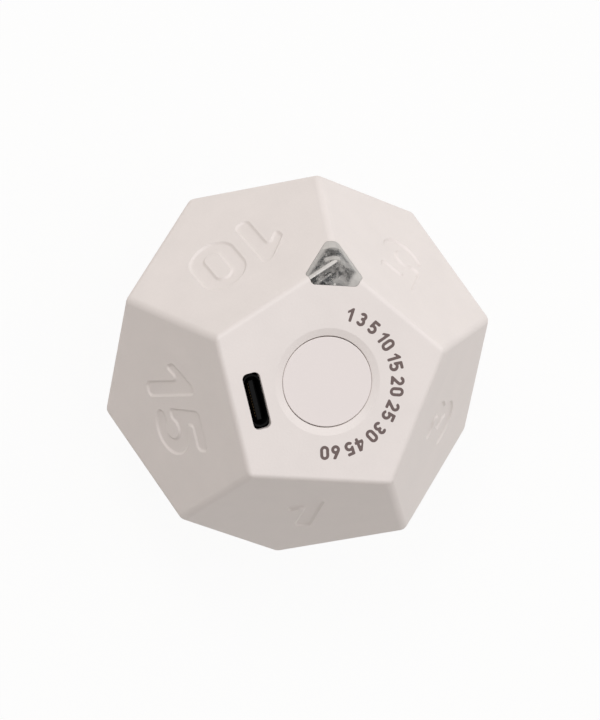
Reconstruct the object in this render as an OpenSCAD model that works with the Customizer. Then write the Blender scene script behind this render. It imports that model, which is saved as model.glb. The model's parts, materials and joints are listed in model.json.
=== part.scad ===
// Flip timer: a desk timer with twelve five-sided faces.
// Ten faces carry a number of minutes, one carries the button and the charging socket, and the blank
// face opposite it is the base. Turning a number upwards starts that many minutes.
// Origin in the middle of the base, +Z up through the button, +Y towards the clear corner.

/* [Body] */
// Edge length of the five-sided faces
edge_len = 24; // [23:0.5:30]
// Wall thickness of both shell halves
wall = 1.8; // [1.4:0.1:2.2]
// Outside rounding along edges and corners
edge_round = 1.6; // [0.8:0.1:2.4]
// Gap between the two shell halves along the seam
seam_gap = 0.1; // [0.05:0.05:0.3]
// Length of a joining tab along its edge
tab_l = 12; // [8:0.5:16]
// How far a joining tab stands up past the seam
tab_h = 2.4; // [1:0.2:4]
// How far a tab's root reaches below the seam
tab_root_h = 2; // [1:0.2:4]
// Thickness of a joining tab
tab_t = 1; // [0.8:0.1:1.6]
// Clearance between the tabs and the upper shell
tab_gap = 0.15; // [0.05:0.05:0.3]

/* [Numerals] */
// Height of an engraved numeral
numeral_h = 13; // [10:0.5:14]
// Width of a round numeral
numeral_w = 8.2; // [7.4:0.2:9]
// Width of the numeral 1
numeral_one_w = 5.7; // [5:0.1:6.5]
// Stroke width of a numeral
numeral_stroke = 2.8; // [1.6:0.1:3]
// Rounding of a numeral's outside corners
numeral_soft = 0.8; // [0.3:0.1:0.8]
// Rounding of a numeral's inside corners
numeral_fillet = 0.3; // [0.1:0.1:0.5]
// Engraving depth
numeral_depth = 0.45; // [0.2:0.05:0.8]
// Gap between the two digits of a number
numeral_gap = 2.2; // [1:0.1:3]

/* [Button] */
// Diameter of the button
button_d = 14.9; // [13:0.1:15.5]
// Gap between the button and its hole, on each side
button_gap = 0.2; // [0.1:0.05:0.4]
// Rounding of the button's top rim
button_round = 0.3; // [0.1:0.1:0.5]
// Depth of the dish around the button
dish_depth = 0.4; // [0.2:0.05:0.8]
// Width of the dish's sloping ring
dish_w = 1; // [0.4:0.1:1.4]
// Width of the retaining flange beyond the button
flange_w = 1.3; // [0.8:0.1:1.6]
// Thickness of the retaining flange
flange_t = 0.8; // [0.5:0.1:1]
// Diameter of the post that presses the switch
post_d = 4; // [2.5:0.1:5]
// Clearance between parts that rest against each other but move apart
rest_gap = 0.02; // [0.01:0.01:0.05]
// Clearance around the flange inside its guide collar
collar_gap = 0.25; // [0.1:0.05:0.4]
// Wall thickness of the guide collar
collar_t = 0.9; // [0.6:0.1:1.2]
// Height of the guide collar below the shell's inner wall
collar_h = 2.2; // [1.6:0.1:3]

/* [Corner lens] */
// Distance of the lens's three sides from its axis
lens_side = 3.4; // [2.8:0.1:4]
// Distance of the lens's three cut corners from its axis
lens_corner = 5; // [4.2:0.1:5.6]
// Rounding of the lens's outline
lens_round = 0.5; // [0.2:0.1:0.8]
// Clearance around the lens in its opening
lens_gap = 0.05; // [0.02:0.01:0.15]
// Width of the flange that holds the lens from inside
lens_flange_w = 1; // [0.6:0.1:1.4]
// Thickness of the lens's flange
lens_flange_t = 1.2; // [0.8:0.1:2]
// Diameter of the light guide under the lens
guide_d = 3; // [2:0.1:3.6]
// Distance of the light guide from the cavity's corner
guide_inset = 2.4; // [2:0.1:3]
// Gap between the light guide and the light
guide_gap = 0.3; // [0.1:0.1:0.6]
// Clearance between the lens's flange and the board
lens_lift = 0.4; // [0.3:0.1:0.8]

/* [Charging socket] */
// Distance of the socket from the middle of the button face
usb_r = 12.3; // [12.2:0.1:13]
// Length of the opening in the shell
usb_slot_l = 9.4; // [8.6:0.1:10]
// Width of the opening in the shell
usb_slot_w = 2.9; // [2.6:0.1:3.2]
// Corner rounding of the opening
usb_slot_round = 0.9; // [0.4:0.1:1.2]
// Thickness of the shell in front of the socket
usb_front_t = 0.9; // [0.6:0.1:1.2]
// Outside length of the socket's metal shell
usb_l = 8.94; // [8.8:0.02:9.2]
// Outside width of the socket's metal shell
usb_w = 3.16; // [3.1:0.02:3.3]
// Sheet thickness of the socket's metal shell
usb_sheet = 0.3; // [0.2:0.05:0.35]
// Clearance around the socket in its pocket
usb_gap = 0.15; // [0.1:0.05:0.3]
// Thickness of the insulating block at the foot of the socket
usb_block_t = 1.6; // [1:0.1:2]
// Width of the socket's tongue
usb_tongue_w = 6.7; // [6.5:0.1:6.8]
// Thickness of the socket's tongue
usb_tongue_t = 0.7; // [0.6:0.05:0.8]
// How far the tongue's tip stays below the socket's mouth
usb_tongue_drop = 1; // [0.6:0.1:1.4]
// Number of contact strips on each side of the tongue
usb_contact_count = 12; // [6:1:12]
// Spacing of the contact strips
usb_contact_pitch = 0.5; // [0.4:0.05:0.5]
// Width of a contact strip
usb_contact_w = 0.26; // [0.2:0.02:0.3]
// Thickness of a contact strip
usb_contact_t = 0.1; // [0.05:0.05:0.15]
// Length of a contact strip
usb_contact_l = 3.6; // [2.5:0.1:3.8]

/* [Board] */
// Depth of the board's top below the button face
board_depth = 7.9; // [7.5:0.1:9]
// Thickness of the board
board_t = 1.6; // [1:0.1:2]
// Clearance between the board's sides and the shell
board_gap = 1.2; // [0.6:0.1:2]
// Radius that rounds off the board's five corners
board_corner_r = 19.5; // [19:0.1:20]
// Distance of a screw post from the cavity's corner
screw_inset = 3; // [2.6:0.1:3.6]
// Diameter of a screw post
screw_post_d = 4.4; // [3.6:0.1:5]
// Diameter of a screw's shank
screw_d = 1.6; // [1.4:0.1:2]
// Clearance around a screw's shank in its post
screw_gap = 0.05; // [0.03:0.01:0.1]
// Clearance around a screw's shank in the board
screw_board_gap = 0.2; // [0.1:0.05:0.3]
// Length of a screw below its head
screw_l = 5.5; // [4:0.1:6.5]
// Diameter of a screw's head
screw_head_d = 3.2; // [2.8:0.1:3.6]
// Thickness of a screw's head
screw_head_t = 1.1; // [0.8:0.1:1.4]
// Width of the cross slots in a screw's head
screw_slot_w = 0.5; // [0.4:0.05:0.6]
// Depth of the cross slots in a screw's head
screw_slot_t = 0.6; // [0.4:0.05:0.7]

/* [Switch] */
// Side of the switch's square base
switch_w = 6; // [5.8:0.1:6.4]
// Height of the switch's base
switch_h = 2.9; // [2.6:0.1:3]
// Floor thickness of the switch's base
switch_floor_t = 0.8; // [0.6:0.1:1]
// Diameter of the well in the switch's base
switch_well_d = 5.2; // [5:0.1:5.4]
// Thickness of the switch's cover plate
switch_cover_t = 0.2; // [0.15:0.05:0.3]
// Diameter of the switch's plunger
plunger_d = 3.5; // [3:0.1:3.7]
// Clearance around the plunger in its cover
plunger_gap = 0.15; // [0.1:0.05:0.2]
// How far the plunger stands above its cover
plunger_proud = 0.9; // [0.7:0.1:1]
// Diameter of the plunger's collar
plunger_collar_d = 4.6; // [4.4:0.1:4.7]
// Thickness of the plunger's collar
plunger_collar_t = 0.6; // [0.5:0.1:0.8]
// Diameter of the nub under the plunger
plunger_nub_d = 1.6; // [1.2:0.1:2]
// Diameter of the snap dome
dome_d = 4.9; // [4.6:0.1:4.9]
// Sheet thickness of the snap dome
dome_t = 0.1; // [0.08:0.01:0.15]
// Height of the snap dome's crown
dome_h = 0.6; // [0.5:0.05:0.7]
// Length of a switch terminal on the board
terminal_l = 1.4; // [1:0.1:1.8]
// Width of a switch terminal
terminal_w = 0.7; // [0.5:0.1:0.9]
// Thickness of a switch terminal
terminal_t = 0.25; // [0.2:0.05:0.3]
// Spacing of the switch terminals on one side
terminal_pitch = 4.5; // [4:0.1:4.8]

/* [Chips] */
// Length, width and height of the light
led_size = [3.5, 2.8, 0.8]; // [0.6:0.1:4]
// Diameter of the light's window
led_window_d = 2; // [1.5:0.1:2.4]
// Depth of the light's window
led_window_t = 0.2; // [0.1:0.05:0.4]
// Length, width and height of the controller chip
controller_size = [10, 3.9, 1.6]; // [1:0.1:12]
// Number of legs on each side of the controller chip
controller_legs = 8; // [4:1:8]
// Length, width and height of the charger chip
charger_size = [2.9, 1.6, 1.1]; // [0.8:0.1:4]
// Number of legs on each side of the charger chip
charger_legs = 3; // [2:1:3]
// Spacing of the controller chip's legs
controller_pitch = 1.27; // [1:0.01:1.27]
// Spacing of the charger chip's legs
charger_pitch = 0.95; // [0.8:0.05:0.95]
// Width of a chip leg
leg_w = 0.4; // [0.3:0.05:0.5]
// Length of a chip leg on the board
leg_l = 1; // [0.6:0.1:1.2]
// Sheet thickness of a chip leg
leg_t = 0.2; // [0.15:0.05:0.25]
// Length, width and height of the motion sensor
motion_size = [3, 3, 1]; // [0.8:0.1:4]
// Diameter of the motion sensor's first-corner dimple
motion_dimple_d = 0.6; // [0.4:0.1:0.8]
// Depth of the dimples that mark a chip's first corner
dimple_t = 0.15; // [0.1:0.05:0.2]
// Diameter of the clock crystal's can
crystal_d = 2; // [1.5:0.1:2.2]
// Length of the clock crystal's can
crystal_l = 6; // [5:0.1:6.5]
// Length, width and height of a capacitor
capacitor_size = [2, 1.2, 1.1]; // [0.5:0.1:2.2]

/* [Sounder] */
// Diameter of the sounder's case
buzzer_d = 9.6; // [9:0.1:10]
// Height of the sounder's case
buzzer_h = 5; // [4.5:0.1:6]
// Wall thickness of the sounder's case
buzzer_wall = 0.5; // [0.4:0.1:0.7]
// Width of the ledge that carries the diaphragm
buzzer_ledge = 0.6; // [0.4:0.1:0.8]
// Depth of the ledge below the board
buzzer_ledge_z = 3.4; // [3:0.1:3.8]
// Diameter of the sound hole
buzzer_hole_d = 2; // [1.5:0.1:2.5]
// Thickness of the diaphragm
diaphragm_t = 0.15; // [0.1:0.05:0.3]
// Clearance around the diaphragm
diaphragm_gap = 0.1; // [0.05:0.05:0.2]
// Diameter of the coil
coil_d = 5; // [4:0.1:5.5]
// Height of the coil
coil_h = 2.8; // [2.4:0.1:2.8]
// Diameter of the coil's core
coil_core_d = 2; // [1.6:0.1:2.4]

/* [Battery] */
// Length, width and height of the battery cell
cell_size = [25, 18, 6.2]; // [5:0.1:26]
// Rounding of the cell's corners
cell_round = 1.5; // [1:0.1:2.5]
// Length and width of the foam pad under the cell
pad_size = [20, 14]; // [10:0.5:22]
// Thickness of the foam pad
pad_t = 0.8; // [0.5:0.1:1.2]
// Clearance between the cell and its fence
fence_gap = 0.3; // [0.2:0.1:0.5]
// Thickness of the fence's ribs
fence_t = 1.2; // [0.8:0.1:1.4]
// Height of the fence above the floor
fence_h = 4; // [3:0.1:6]
// Length of the fence's side ribs
fence_side_l = 14; // [8:0.5:16]
// Length of the fence's end rib
fence_end_l = 8; // [5:0.5:9]
// Thickness, width and height of the protection board
guard_size = [1, 12, 3.6]; // [0.6:0.1:13]
// Outside size of the plug's socket across, along and down
jack_size = [4.6, 6, 4.4]; // [3:0.1:6.4]
// Wall thickness of the plug's socket
jack_wall = 0.6; // [0.4:0.1:0.8]
// Clearance around the plug in its socket
plug_gap = 0.1; // [0.05:0.05:0.2]
// How far the plug stands out of its socket
plug_proud = 1.6; // [1:0.1:2.5]
// Diameter of a lead
lead_d = 1.1; // [0.8:0.1:1.3]
// Length of a lead's straight ends
lead_stub = 0.6; // [0.4:0.1:1.5]
// How far a lead aims out from the protection board before it turns up
lead_reach = 5.5; // [4:0.5:8]
// How far below the plug a lead starts to turn aside
lead_drop = 20; // [12:1:24]

/* [Hidden] */

$fn = 64;
eps = 0.01;
// How far ribs and posts reach into the wall that they grow from
root = 0.4;

// Regular twelve-faced solid: distances from its centre, and the angles of its faces and corners
phi = (1 + sqrt(5)) / 2;
face_r = edge_len * phi * phi / (2 * sqrt(3 - phi));
ring_r = edge_len / (2 * sin(36));
corner_r = norm([face_r, ring_r]);
edge_r = edge_len * phi * phi / 2;
side_tilt = atan(2);
half_bend = side_tilt / 2;
corner_tilt = atan(ring_r / face_r);
top_z = 2 * face_r;
lens_turn = 90;
usb_turn = 198;

function ring(r, z, first) = [for (k = [0:4]) [r * cos(first + 72 * k), r * sin(first + 72 * k), z]];

// Corners in four rings of five: button face, upper waist, lower waist, base
CORNERS = concat(
    ring(ring_r, face_r, lens_turn),
    ring(ring_r * phi, face_r - ring_r, lens_turn),
    ring(ring_r * phi, ring_r - face_r, lens_turn + 36),
    ring(ring_r, -face_r, lens_turn + 36)
);
FACES = concat(
    [[4, 3, 2, 1, 0]],
    [for (k = [0:4]) [k, (k + 1) % 5, 5 + (k + 1) % 5, 10 + k, 5 + k]],
    [for (k = [0:4]) [5 + k, 10 + k, 15 + k, 15 + (k + 4) % 5, 10 + (k + 4) % 5]],
    [[15, 16, 17, 18, 19]]
);

// Minutes on the five faces round the button face, and on the five round the base
UPPER_MINUTES = [[1], [3], [5], [1, 0], [1, 5]];
LOWER_MINUTES = [[2, 0], [2, 5], [3, 0], [4, 5], [6, 0]];
upper_first_turn = 270;
lower_first_turn = 234;
numeral_fn = 32;

function unit(v) = v / norm(v);
function face_out(face) = unit([for (i = face) 1] * [for (i = face) CORNERS[i]]);

// Middles of the balls that round the corners
round_fn = 24;
ROUND_AT = [for (c = CORNERS) c * (1 - edge_round / face_r)];

// Point of the wall's section across an edge: inset from the outside, up or down from the bend
function at_bend(inset, up) = [
    edge_r - inset / cos(half_bend) - abs(up) * sin(half_bend),
    up * cos(half_bend)
];

// Cavity under the button face: its top, its corner, and how far its sides lean out per depth
cavity_top = top_z - wall;
side_lean = tan(90 - side_tilt);
wall_across = wall / sin(side_tilt);
function cavity_apothem(depth) = ring_r * cos(36) + depth * side_lean - wall_across;
cavity_corner_r = cavity_apothem(wall) / cos(36);

board_z = top_z - board_depth;
under_z = board_z - board_t;
board_apothem = cavity_apothem(board_depth) - board_gap;
screw_r = cavity_corner_r - screw_inset;
SCREW_TURNS = [for (k = [1:4]) lens_turn + 72 * k];

button_r = button_d / 2;
button_hole_r = button_r + button_gap;
button_top = top_z - dish_depth;
flange_r = button_r + flange_w;
flange_top = cavity_top - rest_gap;

plunger_top = board_z + switch_h + switch_cover_t + plunger_proud;
plunger_collar_z = board_z + switch_h - rest_gap - plunger_collar_t;
dome_z = board_z + switch_floor_t;
dome_r = (pow(dome_d / 2, 2) + pow(dome_h, 2)) / (2 * dome_h);

guide_y = cavity_corner_r - guide_inset;
led_top = board_z + led_size.z;
lens_reach = wall + lens_flange_t + lens_corner;

usb_h = board_depth - usb_front_t;
usb_mouth = board_z + usb_h;
usb_inner_l = usb_l - 2 * usb_sheet;
usb_inner_w = usb_w - 2 * usb_sheet;
usb_tongue_top = usb_mouth - usb_tongue_drop;

// Places of the pieces on the board's underside
controller_at = [-2, 9];
motion_at = [8, 9.5];
charger_at = [-11.5, -3.5];
crystal_at = [8.5, -8.5];
buzzer_at = [-1, -8.5];
jack_at = [10.5, 0];
CAPACITORS_AT = [[-11.5, 0], [-11.5, -7], [-9.5, 3.5], [4.5, 4.5], [1.5, 4.5], [-5, 4.5]];

cell_z = wall + pad_t;
cell_end = cell_size.x / 2;
guard_z = cell_z + (cell_size.z - guard_size.z) / 2;
jack_inner = [jack_size.x - 2 * jack_wall, jack_size.y - 2 * jack_wall];
plug_bottom = under_z - jack_size.z - plug_proud;
lead_pitch = 2;
lead_sides = 8;
lead_steps = 14;

shell_color = "#e6dfd6";
gold_color = "#c9a24a";
tin_color = "#c3c4c6";
chip_color = "#26262a";

// Whole body with sharp edges, inset from the outside
module sharp_body(inset) {
    translate([0, 0, face_r])
        polyhedron([for (c = CORNERS) c * (1 - inset / face_r)], FACES);
}

// Flat part of a face, as a pyramid from the middle of the body
module flat_pyramid(face) {
    out = edge_round * face_out(face);
    polyhedron(
        concat([[0, 0, 0]], [for (i = face) ROUND_AT[i] + out]),
        concat([[1, 2, 3, 4, 5]], [for (k = [0:4]) [0, 1 + (k + 1) % 5, 1 + k]])
    );
}

// Whole body with its edges and corners rounded
module rounded_body() {
    translate([0, 0, face_r])
        hull() {
            for (at = ROUND_AT)
                translate(at)
                    sphere(edge_round, $fn = round_fn);
            for (face = FACES)
                flat_pyramid(face);
        }
}

// Everything above the zigzag seam that runs along the edges of the waist, moved up
module above_seam(up) {
    far = 2.5;
    waist = [for (k = [0:4]) each [CORNERS[5 + k] * far, CORNERS[10 + k] * far]];
    translate([0, 0, face_r + up])
        polyhedron(
            concat([[0, 0, 0], [0, 0, corner_r * far]], waist),
            [for (i = [0:9]) each [[0, 2 + i, 2 + (i + 1) % 10], [1, 2 + (i + 1) % 10, 2 + i]]]
        );
}

module hollow_body() {
    difference() {
        rounded_body();
        sharp_body(wall);
    }
}

// Places its children on a side face: origin on the face, +Z out of it, +Y up it
module on_face(turn, tilt) {
    translate([0, 0, face_r])
        rotate([0, tilt, turn])
            translate([0, 0, face_r])
                rotate(90)
                    children();
}

// Places its children at the clear corner: origin on the corner, +Z out along its axis
module on_clear_corner() {
    translate([0, 0, face_r])
        rotate([0, corner_tilt, lens_turn])
            translate([0, 0, corner_r])
                children();
}

module at_usb() {
    rotate(usb_turn)
        translate([usb_r, 0, 0])
            rotate(90)
                children();
}

module at_screws() {
    for (turn = SCREW_TURNS)
        rotate(turn)
            translate([screw_r, 0, 0])
                children();
}

// Places its children under the board, with +Z pointing down
module under_board(at) {
    translate([at.x, at.y, under_z])
        rotate([180, 0, 0])
            children();
}

module stadium(l, w) {
    square([l - w, w], center = true);
    for (side = [-1, 1])
        translate([side * (l - w) / 2, 0])
            circle(d = w);
}

module soft_rectangle(l, w, r) {
    square([l - 2 * r, w], center = true);
    square([l, w - 2 * r], center = true);
    for (x = [-1, 1], y = [-1, 1])
        translate([x * (l / 2 - r), y * (w / 2 - r)])
            circle(r);
}

// Straight stroke of a numeral from p to q
module stroke(p, q, w = numeral_stroke) {
    run = norm(q - p);
    translate((p + q) / 2)
        rotate(atan2(q.y - p.y, q.x - p.x))
            square([run + w, w], center = true);
}

// Curved stroke of a numeral about c, from one angle to another
module bend(c, r, from, to) {
    steps = 6;
    far = 2 * r;
    turns = [for (i = [0:steps]) from + (to - from) * i / steps];
    translate(c)
        difference() {
            intersection() {
                circle(r);
                polygon(concat([[0, 0]], [for (t = turns) far * [cos(t), sin(t)]]));
            }
            circle(r - numeral_stroke);
        }
}

// Lines that the middles of a numeral's outer strokes follow
ink_left = numeral_stroke / 2;
ink_right = numeral_w - numeral_stroke / 2;
ink_top = numeral_h / 2 - numeral_stroke / 2;
ink_bottom = -ink_top;
bowl_r = numeral_w / 2;

module digit_0() {
    translate([bowl_r, 0])
        rotate(90)
            difference() {
                stadium(numeral_h, numeral_w);
                stadium(numeral_h - 2 * numeral_stroke, numeral_w - 2 * numeral_stroke);
            }
}

module digit_1() {
    stem_x = numeral_one_w - numeral_stroke / 2;
    flag_w = numeral_stroke * 0.7;
    flag = stem_x - flag_w / 2;
    stroke([stem_x, ink_bottom], [stem_x, ink_top]);
    stroke([stem_x, ink_top], [stem_x - flag, ink_top - flag], flag_w);
}

module digit_2() {
    middle = [bowl_r, numeral_h / 2 - bowl_r];
    first = 178;
    last = -20;
    bend(middle, bowl_r, last, first);
    stroke(middle + (bowl_r - numeral_stroke / 2) * [cos(last), sin(last)], [ink_left, ink_bottom]);
    stroke([ink_left, ink_bottom], [ink_right, ink_bottom]);
}

module digit_3() {
    upper_r = (numeral_h + numeral_stroke) / 4 - 0.2;
    lower_r = (numeral_h + numeral_stroke) / 2 - upper_r;
    tip = 165;
    joint = 105;
    bend([numeral_w - lower_r, numeral_h / 2 - upper_r], upper_r, -joint, tip);
    bend([numeral_w - lower_r, lower_r - numeral_h / 2], lower_r, -tip, joint);
}

module digit_4() {
    stem_x = numeral_w - numeral_stroke;
    bar_y = ink_bottom + numeral_stroke;
    stroke([stem_x, ink_bottom], [stem_x, ink_top]);
    stroke([stem_x, ink_top], [ink_left, bar_y]);
    stroke([ink_left, bar_y], [ink_right, bar_y]);
}

module digit_5() {
    turn_r = numeral_h / 2 - numeral_stroke * 0.75;
    middle = [numeral_w - turn_r, turn_r - numeral_h / 2];
    stem_lean = numeral_stroke / 4;
    stroke([ink_left + stem_lean, ink_top], [ink_right, ink_top]);
    stroke([ink_left + stem_lean, ink_top], [ink_left, 0]);
    tip = -155;
    joint = 140;
    bend(middle, turn_r, tip, joint);
}

module digit_6() {
    middle = [bowl_r, bowl_r - numeral_h / 2];
    translate(middle)
        difference() {
            circle(bowl_r);
            circle(bowl_r - numeral_stroke);
        }
    stroke([ink_left, middle.y], [bowl_r + numeral_stroke / 4, ink_top]);
}

// One numeral, with its outside corners and its inside corners softened
module digit(d) {
    soft = min(numeral_soft, 0.3 * numeral_stroke);
    offset(r = -numeral_fillet)
        offset(r = numeral_fillet + soft)
            offset(delta = -soft) {
                if (d == 0) digit_0();
                if (d == 1) digit_1();
                if (d == 2) digit_2();
                if (d == 3) digit_3();
                if (d == 4) digit_4();
                if (d == 5) digit_5();
                if (d == 6) digit_6();
            }
}

function digit_w(d) = d == 1 ? numeral_one_w : numeral_w;

// Number of minutes, centred, as the solid that is cut out of a face
module engraved_number(digits) {
    first_w = digit_w(digits[0]);
    two = len(digits) == 2;
    total_w = two ? first_w + numeral_gap + digit_w(digits[1]) : first_w;
    translate([0, 0, -numeral_depth])
        linear_extrude(numeral_depth + 1) {
            translate([-total_w / 2, 0])
                digit(digits[0], $fn = numeral_fn);
            if (two)
                translate([first_w + numeral_gap - total_w / 2, 0])
                    digit(digits[1], $fn = numeral_fn);
        }
}

module engraved_ring(minutes, first_turn, tilt) {
    for (k = [0:4])
        on_face(first_turn + 72 * k, tilt)
            engraved_number(minutes[k]);
}

// Three-sided outline of the lens with its corners cut off, grown on every side
module lens_outline(grow) {
    offset(r = lens_round)
        offset(delta = -lens_round)
            intersection() {
                circle(r = 2 * (lens_side + grow), $fn = 3);
                rotate(60)
                    circle(r = 2 * (lens_corner + grow), $fn = 3);
            }
}

module lens_prism(grow) {
    on_clear_corner()
        translate([0, 0, -lens_reach])
            linear_extrude(lens_reach + 1)
                lens_outline(grow, $fn = 24);
}

module button_opening() {
    translate([0, 0, cavity_top - 1])
        cylinder(r = button_hole_r, h = wall + 2);
    translate([0, 0, button_top])
        cylinder(r1 = button_hole_r, r2 = button_hole_r + dish_w, h = dish_depth);
    translate([0, 0, top_z])
        cylinder(r = button_hole_r + dish_w, h = 1);
}

module usb_opening() {
    at_usb() {
        translate([0, 0, cavity_top - 1])
            linear_extrude(wall + 2)
                soft_rectangle(usb_slot_l, usb_slot_w, usb_slot_round);
        translate([0, 0, cavity_top - 1])
            linear_extrude(usb_mouth - cavity_top + 1)
                stadium(max(usb_l, usb_slot_l) + 2 * usb_gap, usb_w + 2 * usb_gap);
    }
}

module button_collar() {
    inner_r = flange_r + collar_gap;
    translate([0, 0, cavity_top - collar_h])
        difference() {
            cylinder(r = inner_r + collar_t, h = collar_h + root);
            translate([0, 0, -1])
                cylinder(r = inner_r, h = collar_h + 1);
        }
}

module screw_posts() {
    at_screws()
        translate([0, 0, board_z])
            cylinder(d = screw_post_d, h = cavity_top - board_z + root);
}

module screw_pilots() {
    depth = screw_l - board_t + 0.3;
    at_screws()
        translate([0, 0, board_z - 1])
            cylinder(d = screw_d + 2 * screw_gap, h = depth + 1);
}

module upper_shell() {
    color(shell_color)
        difference() {
            union() {
                intersection() {
                    hollow_body();
                    above_seam(seam_gap / 2);
                }
                button_collar();
                screw_posts();
            }
            button_opening();
            usb_opening();
            lens_prism(lens_gap);
            screw_pilots();
            engraved_ring(UPPER_MINUTES, upper_first_turn, side_tilt);
        }
}

// Tabs that stand up inside the upper shell at each edge of the waist, rooted in the lower shell's wall
module joining_tabs() {
    outside = wall + tab_gap;
    inside = outside + tab_t;
    relief = 0.3;
    for (i = [0:9])
        translate([0, 0, face_r])
            rotate(lens_turn + 18 + 36 * i)
                rotate([i % 2 == 0 ? 90 - half_bend : 90 + half_bend, 0, 0])
                    linear_extrude(tab_l, center = true)
                        polygon([
                            at_bend(outside, tab_h), at_bend(outside, 0), at_bend(outside, -relief),
                            at_bend(wall - root, -relief), at_bend(wall - root, -tab_root_h),
                            at_bend(inside, -tab_root_h), at_bend(inside, 0), at_bend(inside, tab_h)
                        ]);
}

module battery_fence() {
    side_y = cell_size.y / 2 + fence_gap + fence_t / 2;
    end_x = cell_end + fence_gap + fence_t / 2;
    translate([0, 0, wall - root + (fence_h + root) / 2]) {
        for (side = [-1, 1])
            translate([0, side * side_y, 0])
                cube([fence_side_l, fence_t, fence_h + root], center = true);
        translate([-end_x, 0, 0])
            cube([fence_t, fence_end_l, fence_h + root], center = true);
    }
}

module lower_shell() {
    color(shell_color)
        difference() {
            union() {
                difference() {
                    hollow_body();
                    above_seam(-seam_gap / 2);
                }
                joining_tabs();
                battery_fence();
            }
            engraved_ring(LOWER_MINUTES, lower_first_turn, 180 - side_tilt);
        }
}

module button_cap() {
    arc_steps = 5;
    rim = [
        for (i = [0:arc_steps])
            [button_r - button_round, button_top - button_round]
            + button_round * [sin(90 * i / arc_steps), cos(90 * i / arc_steps)]
    ];
    flange_bottom = flange_top - flange_t;
    post_bottom = plunger_top + rest_gap;
    color(shell_color)
        rotate_extrude()
            polygon(concat(
                [[0, button_top]],
                rim,
                [
                    [button_r, flange_top], [flange_r, flange_top], [flange_r, flange_bottom],
                    [post_d / 2, flange_bottom], [post_d / 2, post_bottom], [0, post_bottom]
                ]
            ));
}

module light_lens() {
    seat = wall + rest_gap;
    guide_bottom = led_top + guide_gap;
    color("#c9cdd0", 0.5)
        union() {
            difference() {
                union() {
                    intersection() {
                        rounded_body();
                        lens_prism(0);
                    }
                    intersection() {
                        sharp_body(seat);
                        lens_prism(lens_flange_w);
                    }
                }
                sharp_body(seat + lens_flange_t);
                translate([0, 0, board_z + lens_lift - corner_r])
                    cube(2 * corner_r, center = true);
            }
            translate([0, guide_y, guide_bottom])
                cylinder(d = guide_d, h = top_z - seat - lens_flange_t / 2 - guide_bottom);
        }
}

module usb_shell() {
    color("#2b2b2d")
        at_usb()
            translate([0, 0, board_z])
                linear_extrude(usb_h)
                    difference() {
                        stadium(usb_l, usb_w);
                        stadium(usb_inner_l, usb_inner_w);
                    }
}

module usb_insert() {
    color("#161617")
        at_usb()
            translate([0, 0, board_z]) {
                linear_extrude(usb_block_t)
                    stadium(usb_inner_l, usb_inner_w);
                translate([0, 0, (usb_tongue_top - board_z) / 2])
                    cube([usb_tongue_w, usb_tongue_t, usb_tongue_top - board_z], center = true);
            }
}

module usb_contacts() {
    first_x = -usb_contact_pitch * (usb_contact_count - 1) / 2;
    color(gold_color)
        at_usb()
            for (i = [0:usb_contact_count - 1], side = [-1, 1])
                translate([
                    first_x + i * usb_contact_pitch,
                    side * (usb_tongue_t + usb_contact_t) / 2,
                    board_z + usb_block_t + usb_contact_l / 2
                ])
                    cube([usb_contact_w, usb_contact_t, usb_contact_l], center = true);
}

module main_board() {
    color("#1f5c3a")
        difference() {
            translate([0, 0, under_z])
                linear_extrude(board_t)
                    intersection() {
                        rotate(lens_turn)
                            circle(r = board_apothem / cos(36), $fn = 5);
                        circle(r = board_corner_r);
                    }
            at_screws()
                translate([0, 0, under_z - 1])
                    cylinder(d = screw_d + 2 * screw_board_gap, h = board_t + 2);
        }
}

module board_screws() {
    color(tin_color)
        at_screws()
            translate([0, 0, under_z])
                difference() {
                    union() {
                        cylinder(d = screw_d, h = screw_l);
                        translate([0, 0, -screw_head_t])
                            cylinder(d = screw_head_d, h = screw_head_t);
                    }
                    for (turn = [0, 90])
                        translate([0, 0, -screw_head_t])
                            rotate(turn)
                                cube([screw_head_d * 0.7, screw_slot_w, 2 * screw_slot_t], center = true);
                }
}

module switch_base() {
    color(chip_color)
        difference() {
            translate([0, 0, board_z + switch_h / 2])
                cube([switch_w, switch_w, switch_h], center = true);
            translate([0, 0, dome_z])
                cylinder(d = switch_well_d, h = switch_h);
        }
}

// Snap dome: a thin cap of a sphere, resting on its rim
module switch_dome() {
    steps = 8;
    half_turn = asin(dome_d / 2 / dome_r);
    turns = [for (i = [0:steps]) half_turn * i / steps];
    outer = [for (t = turns) dome_r * [sin(t), cos(t)]];
    inner = [for (i = [steps:-1:0]) (dome_r - dome_t) * [sin(turns[i]), cos(turns[i])]];
    rim_z = (dome_r - dome_t) * cos(half_turn);
    color(tin_color)
        translate([0, 0, dome_z - rim_z])
            rotate_extrude()
                polygon(concat(outer, inner));
}

module switch_plunger() {
    nub_bottom = dome_z + dome_r - (dome_r - dome_t) * cos(asin(dome_d / 2 / dome_r)) + rest_gap;
    color("#e9e6e0")
        rotate_extrude()
            polygon([
                [0, nub_bottom], [plunger_nub_d / 2, nub_bottom], [plunger_nub_d / 2, plunger_collar_z],
                [plunger_collar_d / 2, plunger_collar_z],
                [plunger_collar_d / 2, plunger_collar_z + plunger_collar_t],
                [plunger_d / 2, plunger_collar_z + plunger_collar_t],
                [plunger_d / 2, plunger_top], [0, plunger_top]
            ]);
}

module switch_cover() {
    color(tin_color)
        translate([0, 0, board_z + switch_h])
            linear_extrude(switch_cover_t)
                difference() {
                    square(switch_w, center = true);
                    circle(d = plunger_d + 2 * plunger_gap);
                }
}

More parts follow.
